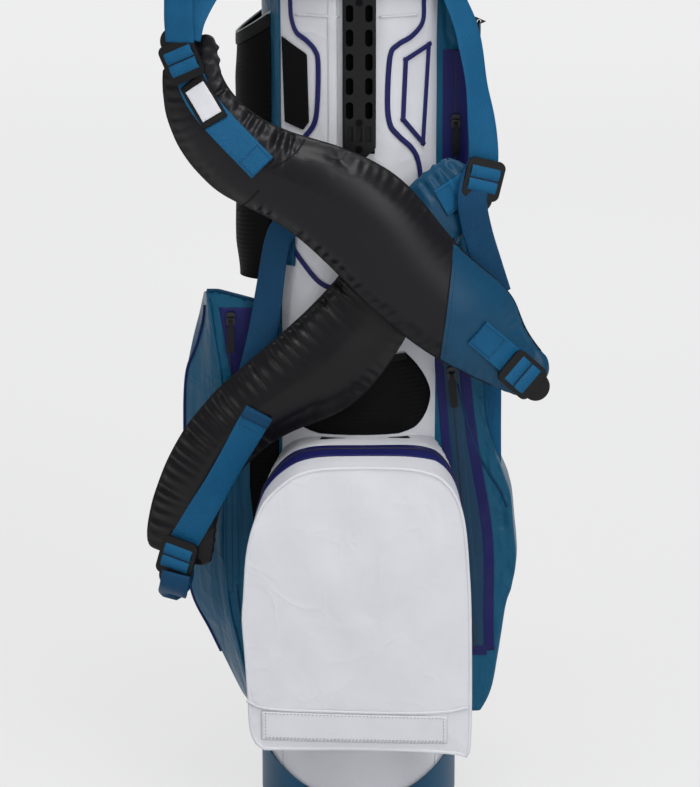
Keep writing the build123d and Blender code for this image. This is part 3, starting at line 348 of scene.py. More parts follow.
# A darker copy of the webbing, painted shade for strap runs and folds that lie in shadow
shaded_webbing = woven_webbing("shaded_webbing", srgb(10, 66, 102))
black_webbing = woven_webbing("black_webbing", srgb(16, 16, 18))
black_plastic = moulded("black_plastic", srgb(18, 18, 20), 0.42, Specular_IOR_Level=0.24)
teal_plastic = moulded("teal_plastic", srgb(16, 76, 108), 0.42, Specular_IOR_Level=0.25)
rubber = moulded("rubber", srgb(30, 30, 31), 0.75, 0.8)
stay_fibre = moulded("stay_fibre", srgb(176, 178, 168), 0.5)
leg_metal = metal("leg_metal", srgb(196, 198, 202), 0.34)
steel = metal("steel", srgb(150, 150, 154), 0.32)
dark_steel = metal("dark_steel", srgb(62, 62, 66), 0.36)
black_steel = metal("black_steel", srgb(26, 26, 28), 0.45)
divider_cloth = lining()
grey_thread = moulded("grey_thread", srgb(165, 167, 176), 0.7)
zip_face = coated_cloth("zip_face", srgb(19, 60, 88), 0.4, 24 * MM, 0.3 * MM, 4.0 * MM,
                        Specular_IOR_Level=0.1, Coat_Weight=0.3, Coat_Roughness=0.24)
zip_dark = moulded("zip_dark", srgb(20, 20, 30), 0.5)
teal_thread = moulded("teal_thread", srgb(14, 66, 98), 0.7)
pale_piping = moulded("pale_piping", srgb(150, 156, 154), 0.6)

CAD_FINISHES = {
    black_plastic: ["top_collar", "divider_cross", "collar_handle", "spine_rail", "leg_bracket", "foot_lever",
                    "left_rod_collar", "right_rod_collar", "left_leg_knuckle", "right_leg_knuckle",
                    "outer_top_lock", "outer_low_lock", "inner_top_lock", "inner_low_lock",
                    "upper_pull", "right_pull", "left_pull", "ball_pull", "ring_tab"],
    teal_plastic: ["base_cup"],
    leg_metal: ["left_leg_tube", "right_leg_tube"],
    steel: ["left_rod", "right_rod", "leg_pins", "lever_pin", "bracket_screws"],
    black_steel: ["rail_screws"],
    dark_steel: ["upper_slider", "right_slider", "left_slider", "ball_slider", "towel_ring"],
    rubber: ["left_leg_foot", "right_leg_foot", "lever_tread"],
    stay_fibre: ["stay_rods"],
}


def finish_cad_nodes():
    for finish, names in CAD_FINISHES.items():
        for name in names:
            nodes[name].data.materials.clear()
            nodes[name].data.materials.append(finish)


# Mesh building

def unit(vectors):
    vectors = np.asarray(vectors, float)
    return vectors / np.linalg.norm(vectors, axis=-1, keepdims=True)


def through(points, count):
    """Points on a smooth line through the given ones."""
    given = np.array(points, float)
    ends = [2 * given[0] - given[1]], [2 * given[-1] - given[-2]]
    padded = np.vstack([ends[0], given, ends[1]])
    place = np.linspace(0, len(given) - 1, count)
    first = np.minimum(place.astype(int), len(given) - 2)
    share = (place - first)[:, None]
    a, b, c, d = (padded[first + k] for k in range(4))
    return 0.5 * (2 * b + (c - a) * share + (2 * a - 5 * b + 4 * c - d) * share ** 2
                  + (3 * b - a - 3 * c + d) * share ** 3)


def evenly(points, count):
    """Points at even distances along a line of many points."""
    points = np.asarray(points, float)
    steps = np.r_[0, np.cumsum(np.linalg.norm(np.diff(points, axis=0), axis=1))]
    wanted = np.linspace(0, steps[-1], count)
    return np.stack([np.interp(wanted, steps, points[:, axis]) for axis in range(points.shape[1])], 1)


def ripple(point, size):
    """Smooth noise from -1 to 1 with bumps of a size, in millimetres."""
    return noise.noise(Vector(point) / size)


def smooth_step(value, low, high):
    share = np.clip((np.asarray(value, float) - low) / (high - low), 0, 1)
    return share * share * (3 - 2 * share)


def add_rows(name, rows, finish, loop=False, caps=(), across=None, along=None):
    """A skin over rows of points. Its UV map holds metres, or the values given for columns and rows."""
    rows = np.asarray(rows, float)
    count, width = rows.shape[:2]
    columns = np.arange(width + 1)
    if across is None:
        spacing = np.linalg.norm(np.diff(rows, axis=1), axis=2).mean()
        across = columns * spacing * MM
    else:
        across = np.r_[across, across[0]]
    if along is None:
        along = np.r_[0, np.cumsum(np.linalg.norm(np.diff(rows, axis=0), axis=2).mean(1))] * MM
    points = list(rows.reshape(-1, 3))
    faces, uvs = [], []
    for r in range(count - 1):
        for c in range(width if loop else width - 1):
            d = (c + 1) % width
            faces.append((r * width + c, r * width + d, (r + 1) * width + d, (r + 1) * width + c))
            uvs += [(across[c], along[r]), (across[c + 1], along[r]),
                    (across[c + 1], along[r + 1]), (across[c], along[r + 1])]
    for r in (row % count for row in caps):
        points.append(rows[r].mean(0))
        for c in range(width):
            pair = (r * width + (c + 1) % width, r * width + c)
            faces.append((*(pair if r == 0 else pair[::-1]), len(points) - 1))
            uvs += [(across[c], along[r]), (across[c + 1], along[r]), (across[c], along[r])]
    return add_mesh(name, points, faces, finish, uvs)


def add_mesh(name, points, faces, finish, uvs=None):
    mesh = bpy.data.meshes.new(name)
    mesh.from_pydata([Vector(point) * MM for point in points], [], faces)
    if uvs is not None:
        mesh.uv_layers.new(name="UVMap").uv.foreach_set("vector", np.array(uvs, np.float32).ravel())
    mesh.materials.append(finish)
    mesh.polygons.foreach_set("use_smooth", [True] * len(mesh.polygons))
    piece = bpy.data.objects.new(name, mesh)
    bpy.context.scene.collection.objects.link(piece)
    return piece


def close_normals(piece):
    """Closes a piece's seam and turns every face outwards."""
    work = bmesh.new()
    work.from_mesh(piece.data)
    bmesh.ops.remove_doubles(work, verts=work.verts, dist=0.005 * MM)
    bmesh.ops.recalc_face_normals(work, faces=work.faces)
    work.to_mesh(piece.data)
    work.free()
    return piece


def settle(piece):
    """Turns a piece's modifiers into plain mesh."""
    evaluated = piece.evaluated_get(bpy.context.evaluated_depsgraph_get())
    mesh = bpy.data.meshes.new_from_object(evaluated)
    piece.modifiers.clear()
    piece.data = mesh
    return piece


def thicken(piece, thickness, inside):
    """Gives an open skin a thickness behind its outer side; inside is a point or an (x, y) axis behind it."""
    mesh = piece.data
    centres = np.array([polygon.center for polygon in mesh.polygons]) / MM
    normals = np.array([polygon.normal for polygon in mesh.polygons])
    outward = centres[:, :len(inside)] - np.array(inside)
    if (normals[:, :len(inside)] * outward).sum() < 0:
        mesh.flip_normals()
    solid = piece.modifiers.new("thickness", "SOLIDIFY")
    solid.thickness = thickness * MM
    solid.offset = -1
    return settle(piece)


def dress(piece, slot, *replaced, body="bag"):
    """Gives a finished piece to its body and hides the CAD nodes that it stands for; its slot is not used."""
    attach(piece, body)
    if replaced:
        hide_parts(*replaced)
    return piece


def ribbon(name, path, facing, width, thickness, finish, crown=0.0):
    """A flat band along a path, with its face towards a direction at each point."""
    path = np.asarray(path, float)
    along = unit(np.gradient(path, axis=0))
    facing = np.broadcast_to(np.asarray(facing, float), path.shape)
    out = unit(facing - (facing * along).sum(1, keepdims=True) * along)
    side = np.cross(along, out)
    half, edge = width / 2, thickness / 2
    top = [(half - edge) * share for share in (-1, -0.6, -0.2, 0.2, 0.6, 1)]
    section = [(x, edge + crown * (1 - (x / half) ** 2)) for x in top]
    section += [(half - 0.3 * edge, 0.7 * edge), (half, 0), (half - 0.3 * edge, -0.7 * edge)]
    section += [(-x, -edge) for x in top]
    section += [(-half + 0.3 * edge, -0.7 * edge), (-half, 0), (-half + 0.3 * edge, 0.7 * edge)]
    rows = [[p + s * x + o * z for x, z in section] for p, s, o in zip(path, side, out)]
    lengths = np.r_[0, np.cumsum(np.linalg.norm(np.diff(path, axis=0), axis=1))] / width
    across = [x / width + 0.5 for x, _ in section]
    piece = add_rows(name, rows, finish, loop=True, caps=(0, -1), across=across, along=lengths)
    return close_normals(piece)


def joined(name, pieces):
    """Several meshes as one piece; each keeps its own material."""
    work = bmesh.new()
    finishes = []
    for piece in pieces:
        for material in piece.data.materials:
            if material not in finishes:
                finishes.append(material)
        offset = [finishes.index(material) for material in piece.data.materials]
        for polygon in piece.data.polygons:
            polygon.material_index = offset[polygon.material_index]
        work.from_mesh(piece.data)
    mesh = bpy.data.meshes.new(name)
    work.to_mesh(mesh)
    work.free()
    for material in finishes:
        mesh.materials.append(material)
    for piece in pieces:
        bpy.data.objects.remove(piece)
    whole = bpy.data.objects.new(name, mesh)
    bpy.context.scene.collection.objects.link(whole)
    return whole


# Repeats along a line, made by one tree

def bead_tree():
    """Beads at even spacing along a line's edges, turned along it."""
    tree = bpy.data.node_groups.new("beads_along_line", "GeometryNodeTree")
    sockets = tree.interface
    sockets.new_socket("Line", in_out="INPUT", socket_type="NodeSocketGeometry")
    for name, value in (("Spacing", 0.003), ("Length", 0.0022), ("Width", 0.0008), ("Height", 0.0006)):
        sockets.new_socket(name, in_out="INPUT", socket_type="NodeSocketFloat").default_value = value
    sockets.new_socket("Finish", in_out="INPUT", socket_type="NodeSocketMaterial")
    sockets.new_socket("Beads", in_out="OUTPUT", socket_type="NodeSocketGeometry")
    given, result = tree.nodes.new("NodeGroupInput"), tree.nodes.new("NodeGroupOutput")

    def add(kind, **settings):
        node = tree.nodes.new(kind)
        for name, value in settings.items():
            setattr(node, name, value)
        return node

    curve = add("GeometryNodeMeshToCurve")
    spaced = add("GeometryNodeResampleCurve", mode="LENGTH")
    tangent = add("GeometryNodeInputTangent")
    turn = add("FunctionNodeAlignRotationToVector", axis="X")
    ball = add("GeometryNodeMeshUVSphere")
    ball.inputs["Segments"].default_value, ball.inputs["Rings"].default_value = 8, 5
    ball.inputs["Radius"].default_value = 0.5
    size = add("ShaderNodeCombineXYZ")
    shaped = add("GeometryNodeTransform")
    placed = add("GeometryNodeInstanceOnPoints")
    real = add("GeometryNodeRealizeInstances")
    painted = add("GeometryNodeSetMaterial")
    smooth = add("GeometryNodeSetShadeSmooth")
    for source, target in (
            (given.outputs["Line"], curve.inputs["Mesh"]),
            (curve.outputs["Curve"], spaced.inputs["Curve"]),
            (given.outputs["Spacing"], spaced.inputs["Length"]),
            (tangent.outputs[0], turn.inputs["Vector"]),
            (given.outputs["Length"], size.inputs[0]),
            (given.outputs["Width"], size.inputs[1]),
            (given.outputs["Height"], size.inputs[2]),
            (ball.outputs["Mesh"], shaped.inputs["Geometry"]),
            (size.outputs[0], shaped.inputs["Scale"]),
            (spaced.outputs[0], placed.inputs["Points"]),
            (shaped.outputs[0], placed.inputs["Instance"]),
            (turn.outputs[0], placed.inputs["Rotation"]),
            (placed.outputs[0], real.inputs[0]),
            (real.outputs[0], smooth.inputs[0]),
            (smooth.outputs[0], painted.inputs["Geometry"]),
            (given.outputs["Finish"], painted.inputs["Material"]),
            (painted.outputs[0], result.inputs[0])):
        tree.links.new(source, target)
    return tree


BEADS = bead_tree()


def beads(name, lines, finish, spacing=3.2, length=2.3, width=0.8, height=0.7):
    """Stitches or zip teeth along lines of points, in millimetres."""
    points, edges = [], []
    for line in lines:
        first = len(points)
        points += [Vector(point) * MM for point in line]
        edges += [(first + k, first + k + 1) for k in range(len(line) - 1)]
    mesh = bpy.data.meshes.new(name)
    mesh.from_pydata(points, edges, [])
    piece = bpy.data.objects.new(name, mesh)
    bpy.context.scene.collection.objects.link(piece)
    modifier = piece.modifiers.new("beads", "NODES")
    modifier.node_group = BEADS
    values = {"Spacing": spacing * MM, "Length": length * MM, "Width": width * MM, "Height": height * MM,
              "Finish": finish}
    for item in BEADS.interface.items_tree:
        if item.in_out == "INPUT" and item.name in values:
            modifier[item.identifier] = values[item.name]
    return settle(piece)


# Fabric tube

def on_tube(angle, radius, z):
    """A point at an angle from the front, in degrees, positive to the right."""
    return np.array([radius * math.sin(math.radians(angle)), -radius * math.cos(math.radians(angle)), z])


def on_front(x, z, lift=0.0):
    """A point on the tube as seen from the front."""
    radius = TUBE + lift
    return np.array([x, -math.sqrt(max(radius * radius - x * x, 0)), z])


def radial(points):
    """Directions away from the tube's axis."""
    points = np.asarray(points, float)
    return unit(points * (1, 1, 0))


def tube_panel(node, start, end, finish, slot):
    """A fabric wall that lies a little slack between the base and the collar."""
    angles = np.linspace(start, end, int((end - start) / 2) + 1)
    rows = []
    for z in np.linspace(TUBE_LOW, TUBE_HIGH, 120):
        hold = smooth_step(z, TUBE_LOW, TUBE_LOW + 80) * (1 - smooth_step(z, CUFF_LOW - 60, CUFF_LOW))
        rows.append([on_tube(a, TUBE - 0.9 * hold * (1 + ripple((a * 1.7, z * 0.4, start), 26)) / 2, z)
                     for a in angles])
    piece = thicken(add_rows(node + "_cloth", rows, finish), 2.4, TUBE_AXIS)
    if finish is teal_fabric:
        piece.data.materials.append(white_fabric)
        for polygon in piece.data.polygons:
            x, y, z = polygon.center / MM
            polygon.material_index = int(z < FOOT_HIGH and abs(math.degrees(math.atan2(x, -y))) < FOOT_EDGE)
    dress(piece, slot, node)


FRONT_PIPING = ((-68, 843), (-68, 834), (-67, 818), (-62, 804), (-52, 796.5), (-44, 788), (-40.5, 776),
                (-41, 738), (-44, 716), (-53, 702), (-67, 686), (-71, 668), (-70.5, 604), (-69, 594),
                (-59, 578), (-39, 556), (-19, 549.5), (0, 548), (17, 550), (37, 558), (54, 580), (60, 598),
                (61, 656), (58.5, 677), (52, 690), (38.5, 703.5), (30.5, 715), (28, 739), (30.5, 782),
                (38, 793), (52, 801), (62.5, 814), (63.7, 834), (63.7, 843))
RIGHT_PATCH = ((69, 791), (46, 778), (43.5, 719), (63.5, 694))
LEFT_PLACKET = ((-26.5, 842), (-26, 760), (-26, 692))


def front_line(name, outline, width, thickness, finish, count, crown=0.0):
    """A band on the front panel along (x, z) points."""
    flat = evenly(through(outline, 40 * len(outline)), count)
    path = [on_front(x, z, 0.3 + thickness / 2) for x, z in flat]
    return ribbon(name, path, radial(path), width, thickness, finish, crown)


def front_piping():
    dress(front_line("front_piping", FRONT_PIPING, 5.4, 1.0, navy, 420, 0.5), "navy_tape")


def patch_piping():
    """Four straight runs round the patch right of the rail; each runs on past its corners."""
    closed = [np.array(p, float) for p in (*RIGHT_PATCH, RIGHT_PATCH[0])]
    runs = []
    for k, (a, b) in enumerate(zip(closed, closed[1:])):
        ahead = (b - a) / np.linalg.norm(b - a) * 2.4
        path = [on_front(x, z, 0.8) for x, z in evenly([a - ahead, b + ahead], 24)]
        runs.append(ribbon(f"patch_side_{k}", path, radial(path), 5.0, 1.0, navy, 0.4))
    dress(joined("right_patch_piping", runs), "navy_tape")


def panel_seams():
    seams = [front_line("placket_left", LEFT_PLACKET, 9.0, 0.9, white_fabric, 40, 0.3)]
    for k, (start, end) in enumerate((((-63, 821.5), (-20, 821)), ((20, 821), (58, 821.5)))):
        seams.append(front_line(f"panel_seam_{k}", (start, end), 2.4, 0.8, white_fabric, 20, 0.4))
    dress(joined("front_panel_seams", seams), "white_fabric")


def rail_slot_shade():
    """A black strip behind the slotted rail, painted shade that makes its slots dark."""
    low, high = span("spine_rail")
    rows = [[on_front(x, z, 0.22) for x in np.linspace(-15.5, 15.5, 14)]
            for z in np.linspace(low[2] + 2, high[2] - 1, 40)]
    dress(thicken(add_rows("rail_slot_shade", rows, black_pile), 0.4, TUBE_AXIS), "black_mesh")


def panel_edges():
    """Piping over the seams between the front panel and the side ones."""
    edges = []
    for side in (-1, 1):
        path = [on_tube(side * FRONT_EDGE, TUBE + 0.4, z)
                for z in np.linspace(TUBE_LOW + 60, CUFF_LOW - 1, 90)]
        edges.append(ribbon(f"panel_edge_{side}", path, radial(path), 4.2, 0.9, teal_fabric, 0.5))
    dress(joined("panel_edge_piping", edges), "teal_fabric")


def glove_patch():
    """The black pile patch, cut to five corners and laid on the tube."""
    left = [(798, -77), (714, -74), (708, -56)]
    right = [(798, -76.6), (783, -52), (716, -50), (708, -55.6)]
    rows = []
    for z in np.linspace(798, 708, 46):
        start = np.interp(-z, [-h for h, _ in left], [x for _, x in left])
        end = np.interp(-z, [-h for h, _ in right], [x for _, x in right])
        rows.append([on_front(x, z, 1.5) for x in np.linspace(start, end, 14)])
    piece = add_rows("glove_patch_pile", rows, black_pile)
    dress(thicken(piece, 1.1, TUBE_AXIS), "black_mesh", "glove_patch")


def slip_pocket():
    """A black stretch pouch sewn to the front, open at its upper hem."""
    low, high = span("slip_pocket")[0][2], span("slip_pocket")[1][2]
    width = ((40, 0), (55, 4), (64, 12), (70, 24), (72, 38), (67, 54), (58, 69), (47, high - low))
    width = through(width, 200)
    rows = []
    for z in np.linspace(low, high, 40):
        half = np.interp(z - low, width[:, 1], width[:, 0])
        row = []
        for share in np.linspace(-1, 1, 41):
            belly = 3.6 * (1 - share ** 4) * smooth_step(z, low, low + 18)
            fold = 0.5 * ripple((share * 40, z * 0.6, 3), 14)
            row.append(on_front(half * share, z, 0.6 + belly * (1 + 0.12 * fold)))
        rows.append(row)
    pouch = thicken(add_rows("slip_pouch", rows, black_mesh), 1.0, TUBE_AXIS)
    brim = [np.array(point) + radial([point])[0] * 0.6 for point in rows[-1]]
    hem = ribbon("slip_hem", [p - (0, 0, 3.5) for p in brim], radial(brim), 7, 1.0, black_webbing, 0.2)
    dress(joined("slip_pocket_pouch", [pouch, hem]), "black_mesh", "slip_pocket")


finish_cad_nodes()
tube_panel("front_panel", -FRONT_EDGE, FRONT_EDGE, white_fabric, "white_fabric")
tube_panel("right_panel", FRONT_EDGE, BACK_EDGE, teal_fabric, "teal_fabric")
tube_panel("left_panel", -BACK_EDGE, -FRONT_EDGE, teal_fabric, "teal_fabric")
tube_panel("back_panel", BACK_EDGE, 360 - BACK_EDGE, teal_fabric, "teal_fabric")
front_piping()
patch_piping()
panel_seams()
rail_slot_shade()
panel_edges()
glove_patch()
slip_pocket()


# Sewn pockets

def rounded(points, count, passes):
    """Points evenly along a polyline, smoothed so that its corners are round; its ends stay."""
    line = evenly(points, count)
    for _ in range(passes):
        line[1:-1] = (line[:-2] + 2 * line[1:-1] + line[2:]) / 4
    return line


def pipe(name, path, radius, finish, facing=(0, -1, 0), closed=False):
    """A round cord along a path."""
    path = np.asarray(path, float)
    along = unit(np.roll(path, -1, 0) - np.roll(path, 1, 0)) if closed else unit(np.gradient(path, axis=0))
    facing = np.asarray(facing, float)
    out = unit(facing - (facing * along).sum(1, keepdims=True) * along)
    side = np.cross(along, out)
    turns = np.linspace(0, 2 * math.pi, 9)[:-1]
    rows = [[p + radius * (s * math.cos(t) + o * math.sin(t)) for t in turns]
            for p, s, o in zip(path, side, out)]
    if closed:
        rows.append(rows[0])
    return close_normals(add_rows(name, rows, finish, loop=True, caps=() if closed else (0, -1)))


BALL_RIM = ((-94, 100), (-102.5, 107), (-107.5, 122), (-109, 150), (-112, 196), (-114.5, 232), (-113, 256),
            (-110.5, 294), (-105, 322), (-96, 345), (-88.5, 356), (-77, 367), (-61, 378), (-38, 384),
            (0, 385.5), (45, 384.5), (69, 380), (82, 373), (93, 360), (100, 343), (104.5, 318), (107.5, 280),
            (109.5, 240), (110.5, 160), (110, 112), (107.5, 93), (98, 95), (60, 98), (0, 100), (-50, 100))
BALL_CENTRE = np.array((-3.0, 240.0))
BALL_INSIDE = (-3.0, -110.0, 240.0)
BALL_REACH = 165                              # from its centre to its far corners
BALL_SIDE_ROOT = np.array((76.07, 62.26))     # where its side walls leave the tube, as (x, -y)
BALL_SPREAD = math.tan(math.radians(20))
BALL_FRONT_Y, BALL_FOOT = -181.0, 92          # where its front stands at its foot, and the foot's height
BALL_SETBACK, BALL_HEIGHT = 8, 300            # its front leans back by this much over this height
BALL_BELLY = 4.5
BALL_INSET = 2                                # its wall keeps this far back from its front and into the tube
BALL_TOP_RISE = 15                            # its top lies this much higher at the tube than at its rim


def ball_front(z, share=1.0):
    """How far forward the ball pocket's front stands; share is 0 at its middle and 1 at its rim."""
    return BALL_FRONT_Y + BALL_SETBACK * (z - BALL_FOOT) / BALL_HEIGHT - BALL_BELLY * (1 - share ** 2)


def ball_rim(count):
    closed = np.vstack([BALL_RIM, BALL_RIM[:1]])
    return evenly(through(closed, 1200), count + 1)[:-1]


def ball_wall(x, z, share):
    """A point on the pocket's wall, from its rim at 0 to the tube at 1."""
    far = abs(x)
    root = math.sqrt(TUBE ** 2 - far ** 2) if far < BALL_SIDE_ROOT[0] else BALL_SIDE_ROOT[1]
    y = (1 - share) * (-ball_front(z) - BALL_INSET) + share * (root - BALL_INSET)
    wide = min(far, BALL_SIDE_ROOT[0] + (y - BALL_SIDE_ROOT[1]) * BALL_SPREAD)
    rise = BALL_TOP_RISE * smooth_step(z, 310, 384) * (1 - (1 - share) ** 2)
    return np.array((math.copysign(wide, x), -y, z + rise))


def on_ball_front(x, z, lift):
    """A point a little before the pocket's front."""
    reach = np.linalg.norm(np.array((x, z)) - BALL_CENTRE)
    return np.array((x, ball_front(z, min(reach / BALL_REACH, 1)) - lift, z))


def on_ball_wall(x, z, share, lift):
    """A point a little outside the pocket's wall."""
    place = ball_wall(x, z, share)
    inner = ball_wall(*(BALL_CENTRE + (np.array((x, z)) - BALL_CENTRE) * 0.96), share)
    return place + unit(place - inner) * lift


def ball_pocket(rim):
    rows = []
    for share in (0.02, *np.linspace(0.06, 0.92, 34), 0.95, 0.975, 0.99, 1.0):
        row = []
        for x, z in BALL_CENTRE + (rim - BALL_CENTRE) * share:
            slack = (1 - share ** 6) * smooth_step(z, 140, 230)
            folds = 2.2 * ripple((x * 0.9 - z * 0.35, z * 0.25 + x * 0.2, 5), 24)
            folds += 1.9 * ripple((x * 1.1 + z * 0.5, z * 0.18, 9), 34)
            row.append((x, ball_front(z, share) + slack * folds, z))
        rows.append(row)
    rows += [[ball_wall(x, z, share) for x, z in rim] for share in np.linspace(0, 1, 30)]
    shell = add_rows("ball_pocket_shell", rows, white_fabric, loop=True, caps=(0,))
    dress(thicken(shell, 1.5, BALL_INSIDE), "white_fabric", "ball_pocket")
    edge = [(x, ball_front(z) + 0.6, z) for x, z in rim]
    dress(pipe("ball_pocket_piping", edge, 1.9, white_fabric, closed=True), "white_fabric")


def foot_band():
    """The stitched band across the ball pocket's foot."""
    fold = through(((-112, 150), (-90, 142), (-20, 139), (51, 137.5), (86, 138.5), (108.5, 143)), 60)
    seam = [on_ball_front(x, z, 0.7) for x, z in fold]
    dress(ribbon("foot_band_seam", seam, (0, -1, 0), 3.0, 1.6, white_fabric, 0.3), "white_fabric")
    columns = list(zip(np.linspace(-97, 88, 60), np.linspace(109, 105, 60), np.linspace(140, 134.5, 60)))
    rows = []
    for share in np.linspace(0, 1, 16):
        lift = 1.6 * smooth_step(min(share, 1 - share), 0, 0.08) + 0.2
        rows.append([on_ball_front(x, low + (high - low) * share, lift) for x, low, high in columns])
    dress(thicken(add_rows("foot_band_panel", rows, white_fabric), 0.8, (0.0, 0.0, 120.0)), "white_fabric")
    box = evenly(((-93, 137.5), (84, 132), (84, 108.5), (-93, 112.5), (-93, 137.5)), 160)
    double = evenly(((-93, 110.8), (84, 106.8)), 90)
    lines = [[on_ball_front(x, z, 2.0) for x, z in line] for line in (box, double)]
    dress(beads("foot_band_stitches", lines, grey_thread, 3.6, 2.5, 0.9, 0.8), "white_fabric")


def ball_zip(rim):
    """The zip over the ball pocket's top, in a band that narrows down its sides."""
    arch = sorted((point for point in rim if point[1] > 318), key=lambda point: point[0])
    rows = []
    for half in np.linspace(-1, 1, 8):
        shares = [0.42 + half * (0.15 - 0.07 * smooth_step(abs(x + 4), 58, 106)) for x, _ in arch]
        rows.append([on_ball_wall(x, z, share, 0.9) for (x, z), share in zip(arch, shares)])
    tape = thicken(add_rows("ball_zip_band", rows, navy), 0.8, BALL_INSIDE)
    line = pipe("ball_zip_line", [on_ball_wall(x, z, 0.46, 1.1) for x, z in arch], 0.8, zip_dark)
    dress(joined("ball_pocket_zip", [tape, line]), "navy_tape")


def ball_slit_shades():
    """Two black strips in the ball pocket's top, near the tube, painted shade inside its two slits."""
    slits = []
    for k, (start, end) in enumerate(((-38, -14), (30, 50))):
        path = [on_ball_wall(x, 384, 0.86, 0.6) for x in np.linspace(start, end, 16)]
        slits.append(ribbon(f"slit_{k}", path, (0, -0.3, 1), 5.0, 0.9, black_webbing))
    dress(joined("ball_pocket_slit_shades", slits), "black_mesh")


def table(rows):
    """A smooth function of height through (height, value) pairs."""
    line = through(sorted(rows), 400)
    return lambda z: float(np.interp(z, line[:, 0], line[:, 1]))


FOOT_CLOSINGS, TOP_CLOSINGS = (0.0, 0.4, 0.8), (0.95, 0.8, 0.5, 0.2, 0.0)    # rings that close a side pocket


def side_pocket(node, side, back, corner, outer, top_in, fall=0.0, lift=0.0, levels=90, slack=None):
    """A side pocket lofted up the tube, and its rows. Its front face is flat, and its wall turns at a corner
    to a slanted side. Its top falls towards the back, and its face sinks by the slack."""
    (_, front, low), (_, _, top_out) = span(node)
    low += lift
    root_front, root_back = (math.sqrt(POCKET_ROOT ** 2 - y ** 2) for y in (front, back))
    inner = min(root_front, root_back)
    widest = max(outer(z) for z in np.linspace(low, top_out, 60))

    def ring(share, closing):
        """One level of the loft; closing draws it in to the tube."""
        level = low + (top_out - low) * share
        c, o = corner(level), outer(level)
        plan = rounded(((root_front, front), (c, front), (o, front + 0.42 * (back - front)),
                        (o - 2, back - 26), (o - 20, back), (root_back, back)), 120, 8)
        row = []
        for x, y in plan:
            on_face = 1 - smooth_step(y, front + 1.5, front + 12)
            root = math.sqrt(max(POCKET_ROOT ** 2 - y * y, 0))
            x = root + (x - root) * closing
            reach = (x - inner) / max(widest - inner, 1)
            z = low + (top_in + (top_out - top_in) * min(reach * 1.6, 1) - low) * share
            z -= fall * share ** 4 * (y - front) / (back - front)
            loose = (1 - on_face) * smooth_step(share, 0.02, 0.1) * (1 - smooth_step(share, 0.93, 1.0))
            folds = 3.0 * ripple((y * 0.8, z * 0.35, side * 7), 40) + 0.8 * ripple((y, z * 0.4, side * 3), 18)
            x += loose * folds
            row.append((side * x, y + slack(x, z) * on_face if slack else y, z))
        return row

    rows = [ring(0, closing) for closing in FOOT_CLOSINGS]
    rows += [ring(share, 1) for share in np.linspace(0, 1, levels)]
    rows += [ring(1, closing) for closing in TOP_CLOSINGS]
    shell = thicken(add_rows(node + "_shell", rows, teal_fabric), 1.4, TUBE_AXIS)
    dress(shell, "teal_fabric", node)
    return rows


LEFT_CORNER = table(((545, 155), (541, 154), (491, 147), (439, 140), (330, 137.5), (230, 136), (176, 126),
                     (107, 108), (92, 100)))
LEFT_OUTER = table(((545, 157), (541, 158), (487, 171), (425, 178.5), (330, 179), (225, 175), (172, 151),
                    (107, 122), (92, 105)))
RIGHT_OUTER = table(((800, 104), (757, 107), (720, 112), (540, 121), (440, 128), (400, 133), (363, 145),
                     (332, 156.5), (297, 160.5), (262, 163.5), (232, 159), (214, 153.5), (171, 147),
                     (125, 139), (100, 127), (92, 118)))


def right_crumple(x, z):
    """How far the right pocket's face sinks in its crumples, which lie between its zip and its corner."""
    zip_edge = 126 - 0.09 * (z - 322) + 9 * math.exp(-((z - 287) / 80) ** 2)
    crumple = 0.45 + ripple((x * 1.5 + z * 0.4, 0, z * 0.8), 13) + 0.5 * ripple((x * 2, 8, z), 9)
    return 3.0 * max(crumple, 0) * smooth_step(x, zip_edge, zip_edge + 5)


def right_corner(z):
    return RIGHT_OUTER(z) - 2.5


def side_pocket_piping(left):
    """Cords on the seams of both side pockets; left is the left pocket's rows."""
    pipes = []
    front = span("left_pocket")[0][1]
    edge = [(-LEFT_CORNER(z) + 1.5, front - 0.2, z) for z in np.linspace(112, 532, 80)]
    pipes.append(pipe("left_corner_piping", edge, 1.5, teal_fabric))
    top_row = left[-1 - len(TOP_CLOSINGS)]
    brow = [np.array(point) + (0, -0.4, 0.8) for point in top_row if point[1] < front + 2.5]
    pipes.append(pipe("left_top_piping", rounded(brow, 60, 4), 1.6, deep_teal))
    clear_of_ends = left[14:-8]
    side = []
    for row in clear_of_ends:
        across = np.interp(row[0][2], (150, 440, 530), (-8, -8, -48))
        side.append(np.array(min(row, key=lambda point: abs(point[1] - across))) + (-0.5, -0.4, 0))
    dress(pipe("left_side_line", rounded(side, 120, 8), 1.6, navy), "navy_tape")
    seam = [(-LEFT_CORNER(z) + 12, front - 0.2, z) for z in np.linspace(112, 236, 30)]
    pipes.append(pipe("left_second_seam", seam, 1.1, deep_teal))
    front = span("right_pocket")[0][1]
    line = through(((100, 446), (106, 420), (114, 392), (127, 362), (142, 338), (151, 318)), 50)
    seam = [(x, front - 0.1 + right_crumple(x, z), z) for x, z in line]
    pipes.append(pipe("right_face_seam", seam, 1.3, deep_teal))
    dress(joined("side_pocket_piping", pipes), "teal_fabric")


def side_pockets():
    left = side_pocket("left_pocket", -1, 58, LEFT_CORNER, LEFT_OUTER, 524, fall=24)
    side_pocket("right_pocket", 1, 56, right_corner, RIGHT_OUTER, span("right_pocket")[1][2] - 4, lift=10.0,
                levels=170, slack=right_crumple)
    side_pocket_piping(left)


# Zips

